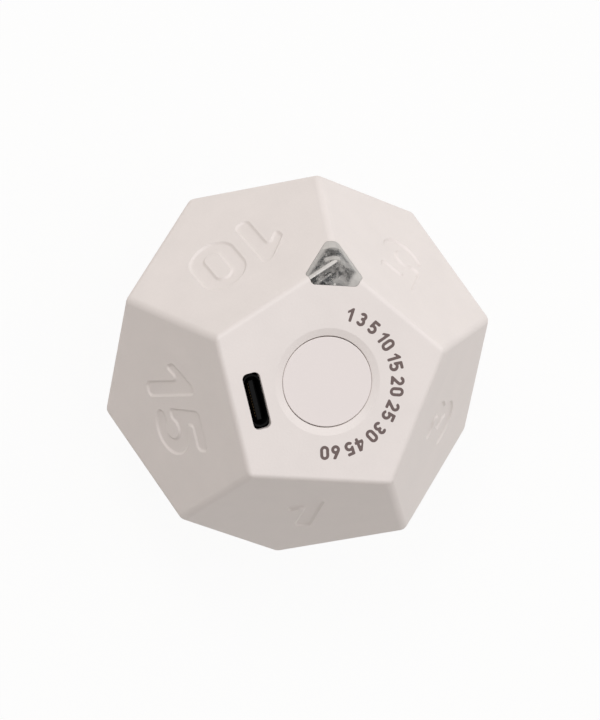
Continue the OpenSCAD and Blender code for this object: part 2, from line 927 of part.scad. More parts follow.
module switch_terminals() {
    riser_h = switch_floor_t;
    color(tin_color)
        translate([0, 0, board_z])
            for (x = [-1, 1], y = [-1, 1])
                scale([x, 1, 1])
                    translate([switch_w / 2, y * terminal_pitch / 2 - terminal_w / 2, 0]) {
                        cube([terminal_l, terminal_w, terminal_t]);
                        cube([terminal_t, terminal_w, riser_h]);
                    }
}

module status_led() {
    color("#efe7c4")
        translate([0, guide_y, board_z])
            difference() {
                translate([0, 0, led_size.z / 2])
                    cube(led_size, center = true);
                translate([0, 0, led_size.z - led_window_t])
                    cylinder(d = led_window_d, h = 1);
            }
}

// Flat chip on the board's underside, with a dimple by its first corner
module chip(at, size, dimple_d) {
    under_board(at)
        difference() {
            translate([0, 0, size.z / 2])
                cube(size, center = true);
            translate([dimple_d - size.x / 2, dimple_d - size.y / 2, size.z - dimple_t])
                cylinder(d = dimple_d, h = 1);
        }
}

module controller_chip() {
    color(chip_color)
        chip(controller_at, controller_size, motion_dimple_d);
}

module motion_sensor() {
    color(chip_color)
        chip(motion_at, motion_size, motion_dimple_d);
}

module charger_chip() {
    color(chip_color)
        chip(charger_at, charger_size, motion_dimple_d / 2);
}

// Two rows of legs along a chip's long sides
module leg_rows(at, size, count, pitch) {
    under_board(at)
        for (i = [0:count - 1], side = [-1, 1])
            translate([(i - (count - 1) / 2) * pitch - leg_w / 2, side * size.y / 2, 0])
                mirror([0, side < 0 ? 1 : 0, 0]) {
                    cube([leg_w, leg_l, leg_t]);
                    cube([leg_w, leg_t, size.z / 2]);
                }
}

module chip_legs() {
    color(tin_color) {
        leg_rows(controller_at, controller_size, controller_legs, controller_pitch);
        leg_rows(charger_at, charger_size, charger_legs, charger_pitch);
    }
}

module clock_crystal() {
    color(tin_color)
        under_board(crystal_at)
            translate([-crystal_l / 2, 0, crystal_d / 2])
                rotate([0, 90, 0])
                    cylinder(d = crystal_d, h = crystal_l);
}

module capacitors() {
    color("#b89b6b")
        for (at = CAPACITORS_AT)
            under_board(at)
                translate([0, 0, capacitor_size.z / 2])
                    cube(capacitor_size, center = true);
}

module buzzer_case() {
    color(chip_color)
        under_board(buzzer_at)
            difference() {
                cylinder(d = buzzer_d, h = buzzer_h);
                translate([0, 0, -1])
                    cylinder(d = buzzer_d - 2 * buzzer_wall, h = buzzer_ledge_z + 1);
                cylinder(d = buzzer_d - 2 * buzzer_wall - 2 * buzzer_ledge, h = buzzer_h - buzzer_wall);
                cylinder(d = buzzer_hole_d, h = buzzer_h + 1);
            }
}

module buzzer_diaphragm() {
    color("#8d8f92")
        under_board(buzzer_at)
            translate([0, 0, buzzer_ledge_z - diaphragm_t])
                cylinder(d = buzzer_d - 2 * buzzer_wall - 2 * diaphragm_gap, h = diaphragm_t);
}

module buzzer_coil() {
    color("#a8653a")
        under_board(buzzer_at)
            difference() {
                cylinder(d = coil_d, h = coil_h);
                translate([0, 0, coil_h - dimple_t])
                    cylinder(d = coil_core_d, h = 1);
            }
}

module battery_cell() {
    color("#b9bec6")
        translate([0, 0, cell_z])
            linear_extrude(cell_size.z)
                soft_rectangle(cell_size.x, cell_size.y, cell_round);
}

module battery_board() {
    color("#2c5a8c")
        translate([cell_end, -guard_size.y / 2, guard_z])
            cube(guard_size);
}

module battery_pad() {
    color("#6f7072")
        translate([0, 0, wall])
            linear_extrude(pad_t)
                soft_rectangle(pad_size.x, pad_size.y, cell_round);
}

// Round tube along a path that keeps across the Y direction
module tube(path, d) {
    last = len(path) - 1;
    points = [
        for (i = [0:last])
            let (
                along = unit(path[min(i + 1, last)] - path[max(i - 1, 0)]),
                across = unit(cross([0, 1, 0], along)),
                third = cross(along, across)
            )
            for (j = [0:lead_sides - 1])
                let (turn = 360 * j / lead_sides)
                path[i] + d / 2 * (cos(turn) * across + sin(turn) * third)
    ];
    sides = [
        for (i = [0:last - 1], j = [0:lead_sides - 1])
            let (
                a = i * lead_sides + j,
                b = i * lead_sides + (j + 1) % lead_sides
            )
            each [[a, a + lead_sides, b + lead_sides], [a, b + lead_sides, b]]
    ];
    first_cap = [for (j = [0:lead_sides - 1]) j];
    last_cap = [for (j = [lead_sides - 1:-1:0]) last * lead_sides + j];
    polyhedron(points, concat(sides, [first_cap], [last_cap]));
}

// Lead from the protection board, out and up in one sweep to the plug
module battery_lead(side) {
    y = side * lead_pitch / 2;
    start = [cell_end + guard_size.x, y, guard_z + guard_size.z / 2];
    finish = [jack_at.x, y, plug_bottom];
    a = start + [lead_stub, 0, 0];
    d = finish - [0, 0, lead_stub];
    b = a + [lead_reach, 0, 0];
    c = d - [0, 0, lead_drop];
    sweep = [
        for (i = [0:lead_steps])
            let (t = i / lead_steps, u = 1 - t)
            u * u * u * a + 3 * u * u * t * b + 3 * u * t * t * c + t * t * t * d
    ];
    tube(concat([start], sweep, [finish]), lead_d);
}

module battery_lead_red() {
    color("#b3261e")
        battery_lead(1);
}

module battery_lead_black() {
    color("#1b1b1d")
        battery_lead(-1);
}

module battery_socket() {
    color("#ece8dd")
        under_board(jack_at)
            translate([0, 0, jack_size.z / 2])
                difference() {
                    cube(jack_size, center = true);
                    translate([0, 0, jack_wall])
                        cube([jack_inner.x, jack_inner.y, jack_size.z], center = true);
                }
}

module battery_plug() {
    length = jack_size.z - jack_wall + plug_proud;
    color("#ded9cc")
        under_board(jack_at)
            translate([0, 0, jack_wall + length / 2])
                cube([jack_inner.x - 2 * plug_gap, jack_inner.y - 2 * plug_gap, length], center = true);
}

upper_shell();
lower_shell();
button_cap();
light_lens();
usb_shell();
usb_insert();
usb_contacts();
main_board();
board_screws();
switch_base();
switch_dome();
switch_plunger();
switch_cover();
switch_terminals();
status_led();
controller_chip();
motion_sensor();
charger_chip();
chip_legs();
clock_crystal();
capacitors();
buzzer_case();
buzzer_diaphragm();
buzzer_coil();
battery_cell();
battery_board();
battery_pad();
battery_lead_red();
battery_lead_black();
battery_plug();
battery_socket();
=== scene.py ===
"""Flip timer: the visible pieces of a twelve-sided desk timer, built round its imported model."""

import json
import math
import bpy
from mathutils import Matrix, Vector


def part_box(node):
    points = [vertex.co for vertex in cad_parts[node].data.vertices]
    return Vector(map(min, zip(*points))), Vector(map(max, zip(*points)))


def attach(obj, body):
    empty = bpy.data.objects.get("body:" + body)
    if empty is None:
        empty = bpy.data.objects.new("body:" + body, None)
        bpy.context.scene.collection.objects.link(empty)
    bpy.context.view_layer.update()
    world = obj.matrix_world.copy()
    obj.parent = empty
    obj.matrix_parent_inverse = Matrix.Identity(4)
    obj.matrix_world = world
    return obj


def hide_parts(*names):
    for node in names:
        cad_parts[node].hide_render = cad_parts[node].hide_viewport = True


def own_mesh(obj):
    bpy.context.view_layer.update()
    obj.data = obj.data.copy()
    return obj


bl_info = {
    "name": "Flip Timer",
    "version": (1, 0, 0),
    "blender": (4, 5, 0),
    "location": "3D View > Sidebar > Flip Timer",
    "description": "Builds a twelve-sided flip timer, its finishes and its stage",
    "category": "Add Mesh",
}

import bmesh
import bpy
from mathutils import Matrix, Vector

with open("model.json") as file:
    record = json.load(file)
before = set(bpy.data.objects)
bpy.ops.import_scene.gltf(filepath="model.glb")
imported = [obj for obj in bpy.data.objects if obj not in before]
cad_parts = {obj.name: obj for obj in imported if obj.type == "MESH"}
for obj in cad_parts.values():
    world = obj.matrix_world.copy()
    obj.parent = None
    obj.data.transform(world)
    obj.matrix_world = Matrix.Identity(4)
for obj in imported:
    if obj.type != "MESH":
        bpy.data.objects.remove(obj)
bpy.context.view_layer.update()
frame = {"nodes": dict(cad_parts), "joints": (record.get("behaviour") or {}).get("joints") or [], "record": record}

# Pieces are modelled in millimetres and brought to metres when they are finished.
MM = 0.001
GOLDEN = (1 + math.sqrt(5)) / 2
TOP_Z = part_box("upper_shell")[1].z / MM
FACE_R = TOP_Z / 2
EDGE_LEN = FACE_R * 2 * math.sqrt(3 - GOLDEN) / GOLDEN**2
RING_R = EDGE_LEN / (2 * math.sin(math.radians(36)))
MIDDLE = Vector((0, 0, FACE_R))
SIDE_TILT = math.degrees(math.atan(2))
CORNER_TILT = math.degrees(math.atan2(RING_R, FACE_R))

# Minutes on each side face, by the face's turn about the upright axis
UPPER_FACES = {270: "1", 342: "3", 54: "5", 126: "10", 198: "15"}
LOWER_FACES = {234: "20", 306: "25", 18: "30", 90: "45", 162: "60"}

# Turns about the upright axis of the clear corner and of the charging slot
LENS_TURN = 90
SOCKET_TURN = 198

# Steps of a full turn, on large round pieces and on small ones
LARGE_STEPS = 128
SMALL_STEPS = 48

# Points nearer than this are joined
WELD = 0.0005

# How far cutters reach past the face that they cut
CUT_DEPTH = 5
LENS_REACH = 8.0

# The seam's edges are drawn in by this share, so that they stay inside the body
SEAM_DRAW = 0.998

# The button's hole is slightly oval: the turn of its long side and how far it departs from a circle
HOLE_TURN = 84
HOLE_OVAL = 0.008

# Place of the lens's light guide, how far it reaches up into the lens, and the hollow in its end by shares
# of its radius
GUIDE_PLACE = (0.4, 17.3, 0)
GUIDE_ROOT = 0.5
GUIDE_HOLLOW_R = 0.6
GUIDE_HOLLOW_H = 0.4


def toward(turn, tilt):
    """Direction at a turn about the upright axis and a tilt away from it, in degrees."""
    turn, tilt = math.radians(turn), math.radians(tilt)
    return Vector((math.sin(tilt) * math.cos(turn), math.sin(tilt) * math.sin(turn), math.cos(tilt)))


LENS_PLACE = (
    Matrix.Translation(MIDDLE + toward(LENS_TURN, CORNER_TILT) * math.hypot(FACE_R, RING_R))
    @ Matrix.Rotation(math.radians(LENS_TURN), 4, "Z")
    @ Matrix.Rotation(math.radians(CORNER_TILT), 4, "Y")
)
UPPER_NORMALS = [Vector((0, 0, 1))] + [toward(turn, SIDE_TILT) for turn in UPPER_FACES]
LOWER_NORMALS = [Vector((0, 0, -1))] + [toward(turn, 180 - SIDE_TILT) for turn in LOWER_FACES]


def arc(x, y, radius, start, stop, step=7.5):
    """Points of an arc about x, y, from one angle to another by about a step, in degrees."""
    steps = max(2, round(abs(stop - start) / step))
    turns = [math.radians(start + (stop - start) * i / steps) for i in range(steps + 1)]
    return [(x + radius * math.cos(t), y + radius * math.sin(t)) for t in turns]


# Outlines of the numerals, in millimetres for a height of 13: outer line first, then any counter
NUMERAL_H = 13.0
NUMERAL_GAP = 2.0
NUMERAL_ROUND = (1.1, 0.5)
NUMERALS = {
    "0": [
        arc(4.2, 2.3, 4.2, 0, 180) + arc(4.2, -2.3, 4.2, 180, 360),
        arc(4.2, 2.4, 1.4, 0, 180) + arc(4.2, -2.4, 1.4, 180, 360),
    ],
    "1": [[(3, -6.5), (5.7, -6.5), (5.7, 6.5), (4, 6.5), (0, 2.5), (0.45, 0.1), (3, 2.8)]],
    "2": [
        arc(4.1, 2.4, 4.1, 178, -38.5)
        + [(4.48, -3.7), (8.2, -3.7), (8.2, -6.5), (0, -6.5), (0, -4.84)]
        + arc(4.1, 2.4, 1.3, -38.5, 178)
    ],
    "3": [
        arc(4.05, 2.75, 3.75, 165, -36.7)
        + arc(4.05, -2.35, 4.15, 43.6, -165)
        + arc(4.05, -2.35, 1.35, -165, 90)
        + [(2.9, -1.0), (2.9, 1.8)]
        + arc(4.05, 2.75, 0.95, -90, 165)
    ],
    "4": [
        [(4, -6.5), (6.8, -6.5), (6.8, -3.6), (8.2, -3.6), (8.2, -1.0), (6.8, -1.0)]
        + [(6.8, 6.5), (3.9, 6.5), (0, -0.7), (0, -3.7), (4, -3.7)],
        [(4, -0.9), (1.95, -0.9), (4, 2.9)],
    ],
    "5": [
        arc(3.8, -2.1, 4.4, 98, -155)
        + arc(3.7, -2.1, 1.65, -155, 165)
        + [(0.05, -1.67), (0.75, 6.5), (7.8, 6.5), (7.8, 3.7), (3.3, 3.7)]
    ],
    "6": [
        arc(4.1, -2.4, 4.1, 80.6, -206.1) + [(3.9, 6.5), (6.97, 6.5)],
        arc(4.1, -2.4, 1.3, 0, 352.5),
    ],
}
NUMERAL_W = {name: max(x for x, _ in outlines[0]) for name, outlines in NUMERALS.items()}


def soften(points, outer, inner):
    """An outline with its corners rounded, as far as the lengths between them allow."""
    points = [Vector(p) for p in points]
    points = [p for i, p in enumerate(points) if (p - points[i - 1]).length > 0.01]
    ring = points + points[:1]
    at = [0.0]
    for a, b in zip(ring, ring[1:]):
        at.append(at[-1] + (b - a).length)
    total = at[-1]

    def along(s):
        i = max(k for k in range(len(points)) if at[k] <= s % total)
        return ring[i].lerp(ring[i + 1], (s % total - at[i]) / (at[i + 1] - at[i]))

    steps = [(points[i] - points[i - 1], ring[i + 1] - points[i]) for i in range(len(points))]
    turns = [a.angle(b) for a, b in steps]
    turned = sum(math.copysign(turn, a.cross(b)) for turn, (a, b) in zip(turns, steps))
    corners = [i for i, turn in enumerate(turns) if turn > math.radians(25)]
    if not corners:
        return [tuple(p) for p in points]
    rooms = [(at[j] - at[i]) % total or total for i, j in zip(corners, corners[1:] + corners[:1])]
    reach = []
    for k, i in enumerate(corners):
        radius = outer if steps[i][0].cross(steps[i][1]) * turned > 0 else inner
        reach.append(min(radius * math.tan(turns[i] / 2), 0.45 * rooms[k], 0.45 * rooms[k - 1]))
    out = []
    for k, i in enumerate(corners):
        first, last, weight = along(at[i] - reach[k]), along(at[i] + reach[k]), math.cos(turns[i] / 2)
        for t in (0, 0.2, 0.4, 0.6, 0.8, 1):
            a, b, c = (1 - t) ** 2, 2 * weight * t * (1 - t), t * t
            out.append((first * a + points[i] * b + last * c) / (a + b + c))
        start, stop = reach[k] + 0.05, rooms[k] - reach[(k + 1) % len(corners)] - 0.05
        between = [j for j in range(len(points)) if start < (at[j] - at[i]) % total < stop]
        out += [points[j] for j in sorted(between, key=lambda j: (at[j] - at[i]) % total)]
    return [tuple(p) for p in out]


def clear_selection():
    """Object mode with nothing selected."""
    if bpy.context.mode != "OBJECT":
        bpy.ops.object.mode_set(mode="OBJECT")
    bpy.ops.object.select_all(action="DESELECT")


def take(obj):
    """Makes one object the selected and active one, in object mode."""
    clear_selection()
    obj.select_set(True)
    bpy.context.view_layer.objects.active = obj
    return obj


def edit(obj):
    """Opens one object in edit mode with all of it selected."""
    take(obj)
    bpy.ops.object.mode_set(mode="EDIT")
    bpy.ops.mesh.select_all(action="SELECT")


def pick(kind, test):
    """In edit mode, selects only the faces, edges or verts that pass a test."""
    mesh = bpy.context.active_object.data
    bpy.ops.mesh.select_mode(type=kind)
    bpy.ops.mesh.select_all(action="DESELECT")
    work = bmesh.from_edit_mesh(mesh)
    parts = {"FACE": work.faces, "EDGE": work.edges, "VERT": work.verts}[kind]
    count = 0
    for part in parts:
        if test(part):
            part.select_set(True)
            count += 1
    bmesh.update_edit_mesh(mesh)
    if not count:
        raise RuntimeError("nothing to select on " + bpy.context.active_object.name)


def seal():
    """In edit mode, joins doubled points and turns all faces outwards."""
    bpy.ops.mesh.select_all(action="SELECT")
    bpy.ops.mesh.remove_doubles(threshold=WELD)
    bpy.ops.mesh.normals_make_consistent(inside=False)


def apply_place(obj):
    """Puts an object's place, turn and size into its mesh."""
    take(obj)
    bpy.ops.object.transform_apply(location=True, rotation=True, scale=True)


def set_matrix(obj, matrix):
    """Moves an object by a matrix, into its mesh."""
    obj.matrix_world = matrix
    apply_place(obj)


def copy_of(obj, name):
    """A copy of an object with its own mesh."""
    take(obj)
    bpy.ops.object.duplicate(linked=False)
    made = bpy.context.active_object
    made.name = name
    return made


def modify(obj, kind, **settings):
    """Adds a modifier and applies it."""
    take(obj)
    made = obj.modifiers.new(kind.lower(), kind)
    for key, value in settings.items():
        setattr(made, key, value)
    bpy.ops.object.modifier_apply(modifier=made.name)


def combine(obj, other, operation):
    """Cuts, joins or crosses one solid with another, which is used up."""
    modify(obj, "BOOLEAN", operation=operation, solver="EXACT", object=other)
    bpy.data.objects.remove(other)
    edit(obj)
    bpy.ops.mesh.remove_doubles(threshold=WELD)
    bpy.ops.object.mode_set(mode="OBJECT")


def merged(objs, name):
    """Several objects as one."""
    clear_selection()
    for obj in objs:
        obj.select_set(True)
    bpy.context.view_layer.objects.active = objs[0]
    if len(objs) > 1:
        bpy.ops.object.join()
    made = bpy.context.active_object
    made.name = name
    return made


def line_curve(name, outlines, closed):
    """A flat curve of straight pieces through the points of each outline."""
    curve = bpy.data.curves.new(name, "CURVE")
    curve.dimensions = "2D"
    curve.fill_mode = "BOTH"
    for points in outlines:
        spline = curve.splines.new("POLY")
        spline.points.add(len(points) - 1)
        for point, (x, y) in zip(spline.points, points):
            point.co = (x, y, 0, 1)
        spline.use_cyclic_u = closed
    obj = bpy.data.objects.new(name, curve)
    bpy.context.collection.objects.link(obj)
    return obj


def to_mesh(obj):
    """Turns a curve into a closed mesh that faces outwards."""
    take(obj)
    bpy.ops.object.convert(target="MESH")
    made = bpy.context.active_object
    edit(made)
    seal()
    bpy.ops.object.mode_set(mode="OBJECT")
    return made


def sunk(name, outlines, wall):
    """A solid inside outlines. Its wall runs down through pairs of how far out and how high."""
    profile = line_curve("profile", [[(-out, height) for out, height in wall]], False)
    obj = line_curve(name, outlines, True)
    obj.data.bevel_mode = "OBJECT"
    obj.data.bevel_object = profile
    made = to_mesh(obj)
    bpy.data.objects.remove(profile)
    return made


def lathed(name, profile, steps):
    """A solid turned about the upright axis from a line of radius and height."""
    obj = line_curve(name, [profile], False)
    obj.rotation_euler = (math.pi / 2, 0, 0)
    take(obj)
    bpy.ops.object.convert(target="MESH")
    obj = bpy.context.active_object
    apply_place(obj)
    edit(obj)
    bpy.ops.mesh.spin(steps=steps, angle=2 * math.pi, center=(0, 0, 0), axis=(0, 0, 1))
    seal()
    bpy.ops.object.mode_set(mode="OBJECT")
    return obj


def face_place(normal, up):
    """Matrix that lays a flat outline on a face: its front along the normal, its top towards up."""
    y = (up - normal * up.dot(normal)).normalized()
    x = y.cross(normal)
    return Matrix.Translation(MIDDLE + normal * FACE_R) @ Matrix((x, y, normal)).transposed().to_4x4()


def finish_piece(obj, body, nodes, material, smooth):
    """Brings a piece to metres, smooths edges under an angle, gives it its material, puts it under its body's
    empty and hides the model's nodes that it replaces.
    """
    take(obj)
    bpy.ops.object.shade_smooth_by_angle(angle=math.radians(smooth))
    modify(obj, "WEIGHTED_NORMAL", keep_sharp=True)
    obj.scale = (MM, MM, MM)
    apply_place(obj)
    obj.data.materials.clear()
    obj.data.materials.append(material)
    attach(obj, body)
    if nodes:
        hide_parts(*nodes)


class Wire:
    """A node's output. Arithmetic on it adds Math nodes."""

    def __init__(self, nodes, socket):
        self.nodes = nodes
        self.socket = socket

    def __add__(self, other):
        return self.nodes.calc("ADD", self, other)

    def __radd__(self, other):
        return self.nodes.calc("ADD", other, self)

    def __sub__(self, other):
        return self.nodes.calc("SUBTRACT", self, other)

    def __rsub__(self, other):
        return self.nodes.calc("SUBTRACT", other, self)

    def __mul__(self, other):
        return self.nodes.calc("MULTIPLY", self, other)

    def __rmul__(self, other):
        return self.nodes.calc("MULTIPLY", other, self)


class Nodes:
    """A node tree and the place that its patterns are worked out from."""

    def __init__(self, tree, place):
        self.tree = tree
        self.place = self.node("ShaderNodeTexCoord", out=place)

    def node(self, kind, settings=None, inputs=None, out=0):
        """Adds a node: its settings first, then the values or wires of its sockets."""
        made = self.tree.nodes.new(kind)
        for key, value in (settings or {}).items():
            setattr(made, key, value)
        for key, value in (inputs or {}).items():
            self.feed(made.inputs[key], value)
        return Wire(self, made.outputs[out])

    def feed(self, socket, value):
        """Links a wire to a socket, or sets the socket to a value."""
        if isinstance(value, Wire):
            self.tree.links.new(value.socket, socket)
        else:
            socket.default_value = value

    def mix(self, factor, first, second):
        """A colour between two colours."""
        inputs = {0: factor, 6: first, 7: second}
        return self.node("ShaderNodeMix", {"data_type": "RGBA", "clamp_factor": True}, inputs, out=2)

    def calc(self, operation, *values):
        """A number worked out from one or two others."""
        return self.node("ShaderNodeMath", {"operation": operation}, dict(enumerate(values)))

    def vector(self, operation, *values, out=0):
        """A vector, or a number about it, worked out from one or two others."""
        return self.node("ShaderNodeVectorMath", {"operation": operation}, dict(enumerate(values)), out)

    def dot(self, direction):
        """How far a place lies along a direction."""
        return self.vector("DOT_PRODUCT", self.place, direction, out="Value")


class Finish(Nodes):
    """One material and its nodes."""

    def __init__(self, name):
        self.material = bpy.data.materials.new(name)
        self.material.use_nodes = True
        super().__init__(self.material.node_tree, "Object")
        self.shader = self.tree.nodes["Principled BSDF"]

    def set(self, **values):
        """Sets or links the shader's own sockets, with their names in lower case."""
        for key, value in values.items():
            name = key.replace("_", " ").title().replace("Ior", "IOR")
            self.feed(self.shader.inputs[name], value)

    def blend(self, amount, other):
        """Shows another shader in place of the finish's own, by an amount."""
        own = Wire(self, self.shader.outputs["BSDF"])
        shown = self.node("ShaderNodeMixShader", None, {0: amount, 1: own, 2: other})
        self.feed(self.tree.nodes["Material Output"].inputs["Surface"], shown)

    def noise(self, scale, detail=2.0, rough=0.5):
        """Soft random patches, 0 to 1."""
        inputs = {"Vector": self.place, "Scale": scale, "Detail": detail, "Roughness": rough}
        return self.node("ShaderNodeTexNoise", None, inputs)

    def fade(self, value, start, stop):
        """1 up to a start, then softly down to 0."""
        inputs = {"Value": value, "From Min": start, "From Max": stop, "To Min": 1.0, "To Max": 0.0}
        return self.node("ShaderNodeMapRange", {"interpolation_type": "SMOOTHSTEP"}, inputs)

    def near(self, value, middle, start, stop):
        """1 near a middle value, then softly down to 0 on both sides."""
        return self.fade(self.calc("ABSOLUTE", value - middle), start, stop)

    def away_from(self, point, direction):
        """Distance of a place from a line through a point."""
        across = self.vector("CROSS_PRODUCT", self.vector("SUBTRACT", self.place, point), direction)
        return self.vector("LENGTH", across, out="Value")

    def largest(self, wires):
        """The largest of several values."""
        most = wires[0]
        for wire in wires[1:]:
            most = self.calc("MAXIMUM", most, wire)
        return most

    def bump(self, height, depth, strength=1.0):
        """Raises the surface by a height, of that depth in metres."""
        inputs = {"Height": height, "Distance": depth, "Strength": strength}
        return self.node("ShaderNodeBump", None, inputs)


def tone(color, factor):
    """A colour made lighter or darker, opaque."""
    return (*[min(1.0, c * factor) for c in color[:3]], 1.0)


# Soft patches in a plain finish: how many to a metre, their share of the tone, and what they and the grain
# add to the roughness
PATCH_SCALE = 160
PATCH_SHARE = 0.7
PATCH_ROUGH = 0.12
GRAIN_ROUGH = 0.06


def moulded(name, color, rough, grain, depth, spread, metal=0.0, coat=0.0, shine=0.5):
    """A plain finish with soft patches of tone and gloss and a fine grain."""
    finish = Finish(name)
    patches = finish.noise(PATCH_SCALE, detail=5)
    fine = finish.noise(grain)
    uneven = patches * PATCH_SHARE + fine * (1 - PATCH_SHARE)
    finish.set(
        base_color=finish.mix(uneven, tone(color, 1 - spread), tone(color, 1 + spread)),
        roughness=patches * PATCH_ROUGH + fine * GRAIN_ROUGH + (rough - (PATCH_ROUGH + GRAIN_ROUGH) / 2),
        metallic=metal,
        coat_weight=coat,
        specular_ior_level=shine,
        normal=finish.bump(fine, depth),
    )
    return finish.material


# Painted highlights on the clear corner, in millimetres. Pale bands beside the housing, a painted reflection of
# the housing's walls in the clear plastic: the turn of a side, the size that places it, how deep the band starts
# to fade and ends, and how strong it is
PAINTED_LENS_BANDS = (
    (0, "lens_corner", 1.5, 2.1, 0.8),
    (60, "lens_side", 0.35, 1.2, 0.7),
    (240, "lens_corner", 1.0, 2.0, 0.75),
    (300, "lens_side", 0.45, 1.5, 0.75),
)

# Painted highlights along the ridges that meet at the clear corner: turn, tilt and how strong each is outside, how
# strong all are inside, and how far from a ridge its highlight starts to fade and ends
LENS_RIDGE_HIGHLIGHTS = ((216, 90, 0.95), (324, 90, 0.15), (90, 148.28, 0.05))
INNER_RIDGE_HIGHLIGHTS = 0.85
OUTER_HIGHLIGHT_FADE = (0.34, 0.52)
INNER_HIGHLIGHT_FADE = (0.14, 0.3)

# Painted ring highlight on the light guide's end: its share of the guide's radius, its fade, and the depths where
# it dies out
GUIDE_RING_HIGHLIGHT = 0.8
GUIDE_HIGHLIGHT_FADE = (0.1, 0.18)
GUIDE_HIGHLIGHT_DEPTHS = (3, 2)

# Painted highlight patch beside the tip, down from it and across: its middle, where it starts to fade and ends.
# Then how strong it is
TIP_HIGHLIGHT_DOWN = (0.7, 0.3, 0.7)
TIP_HIGHLIGHT_ACROSS = (0.4, 1.0, 1.7)
TIP_HIGHLIGHT_AMOUNT = 0.7

# Mottle all over: how many to a metre, the levels between which it fades, and how strong it is
MOTTLE_SCALE = 450
MOTTLE_FADE = (0.38, 0.54)
MOTTLE_AMOUNT = 0.4

# What the painted highlights and the mottle look like, and how unevenly they lie
HIGHLIGHT_AND_MOTTLE_COLOR = (0.6, 0.57, 0.535, 1.0)
HIGHLIGHT_AND_MOTTLE_ROUGH = 0.4
HIGHLIGHT_AND_MOTTLE_LEAST = 0.75
HIGHLIGHT_AND_MOTTLE_SPREAD = 0.5

# The clear plastic itself: how it bends light, and its faint waves to a metre, their depth in metres, and
# what they add to the roughness
CLEAR_IOR = 1.49
CLEAR_ROUGH = 0.01
WAVE_SCALE = 500
WAVE_DEPTH = 4e-5
WAVE_ROUGH = 0.04


def metres(lengths):
    """Lengths in millimetres brought to metres."""
    return [length * MM for length in lengths]


def lens_highlights_and_mottle(finish):
    """How much painted highlight and milky mottle the clear corner shows, from 0 to about 1."""
    corner = LENS_PLACE.translation
    turned = LENS_PLACE.to_3x3()
    marks = [finish.fade(finish.noise(MOTTLE_SCALE, detail=3), *MOTTLE_FADE) * MOTTLE_AMOUNT]
    # Painted reflection: pale bands beside the housing
    for turn, edge, start, stop, amount in PAINTED_LENS_BANDS:
        out = turned @ toward(turn, 90)
        depth = (corner.dot(out) + size(edge)) * MM - finish.dot(out)
        marks.append(finish.fade(depth, start * MM, stop * MM) * amount)
    inner = MIDDLE + (corner - MIDDLE) * (1 - size("lens_floor") / FACE_R)
    # Painted highlights along the ridges, outside and inside
    for turn, tilt, amount in LENS_RIDGE_HIGHLIGHTS:
        away = finish.away_from(corner * MM, toward(turn, tilt))
        marks.append(finish.fade(away, *metres(OUTER_HIGHLIGHT_FADE)) * amount)
        away = finish.away_from(inner * MM, toward(turn, tilt))
        marks.append(finish.fade(away, *metres(INNER_HIGHLIGHT_FADE)) * INNER_RIDGE_HIGHLIGHTS)
    # Painted ring highlight on the light guide's end
    away = finish.away_from(Vector(GUIDE_PLACE) * MM, (0, 0, 1))
    ring = finish.near(away, GUIDE_RING_HIGHLIGHT * size("guide_radius") * MM, *metres(GUIDE_HIGHLIGHT_FADE))
    low = finish.fade(finish.dot((0, 0, 1)), *metres(TOP_Z - depth for depth in GUIDE_HIGHLIGHT_DEPTHS))
    marks.append(ring * low)
    # Painted highlight patch beside the tip
    down, across = (finish.dot(axis) - corner.dot(axis) * MM for axis in turned.transposed()[:2])
    tip = finish.near(down, *metres(TIP_HIGHLIGHT_DOWN)) * finish.near(across, *metres(TIP_HIGHLIGHT_ACROSS))
    marks.append(tip * TIP_HIGHLIGHT_AMOUNT)
    return finish.largest(marks)


def clear_plastic(tint):
    """Clear plastic with painted highlights where it meets the housing, along its ridges, round the light guide
    and beside its tip, and a milky mottle.
    """
    finish = Finish("clear_plastic")
    waves = finish.noise(WAVE_SCALE)
    finish.set(
        base_color=tone(tint, 1),
        roughness=waves * WAVE_ROUGH + CLEAR_ROUGH,
        transmission_weight=1.0,
        ior=CLEAR_IOR,
        normal=finish.bump(waves, WAVE_DEPTH),
    )
    # A pale shader shown over the clear one paints the highlights and the mottle
    look = {"Base Color": HIGHLIGHT_AND_MOTTLE_COLOR, "Roughness": HIGHLIGHT_AND_MOTTLE_ROUGH}
    highlight_and_mottle_shader = finish.node("ShaderNodeBsdfPrincipled", None, look)
    finish.blend(lens_highlights_and_mottle(finish) * (waves * HIGHLIGHT_AND_MOTTLE_SPREAD + HIGHLIGHT_AND_MOTTLE_LEAST), highlight_and_mottle_shader)
    return finish.material


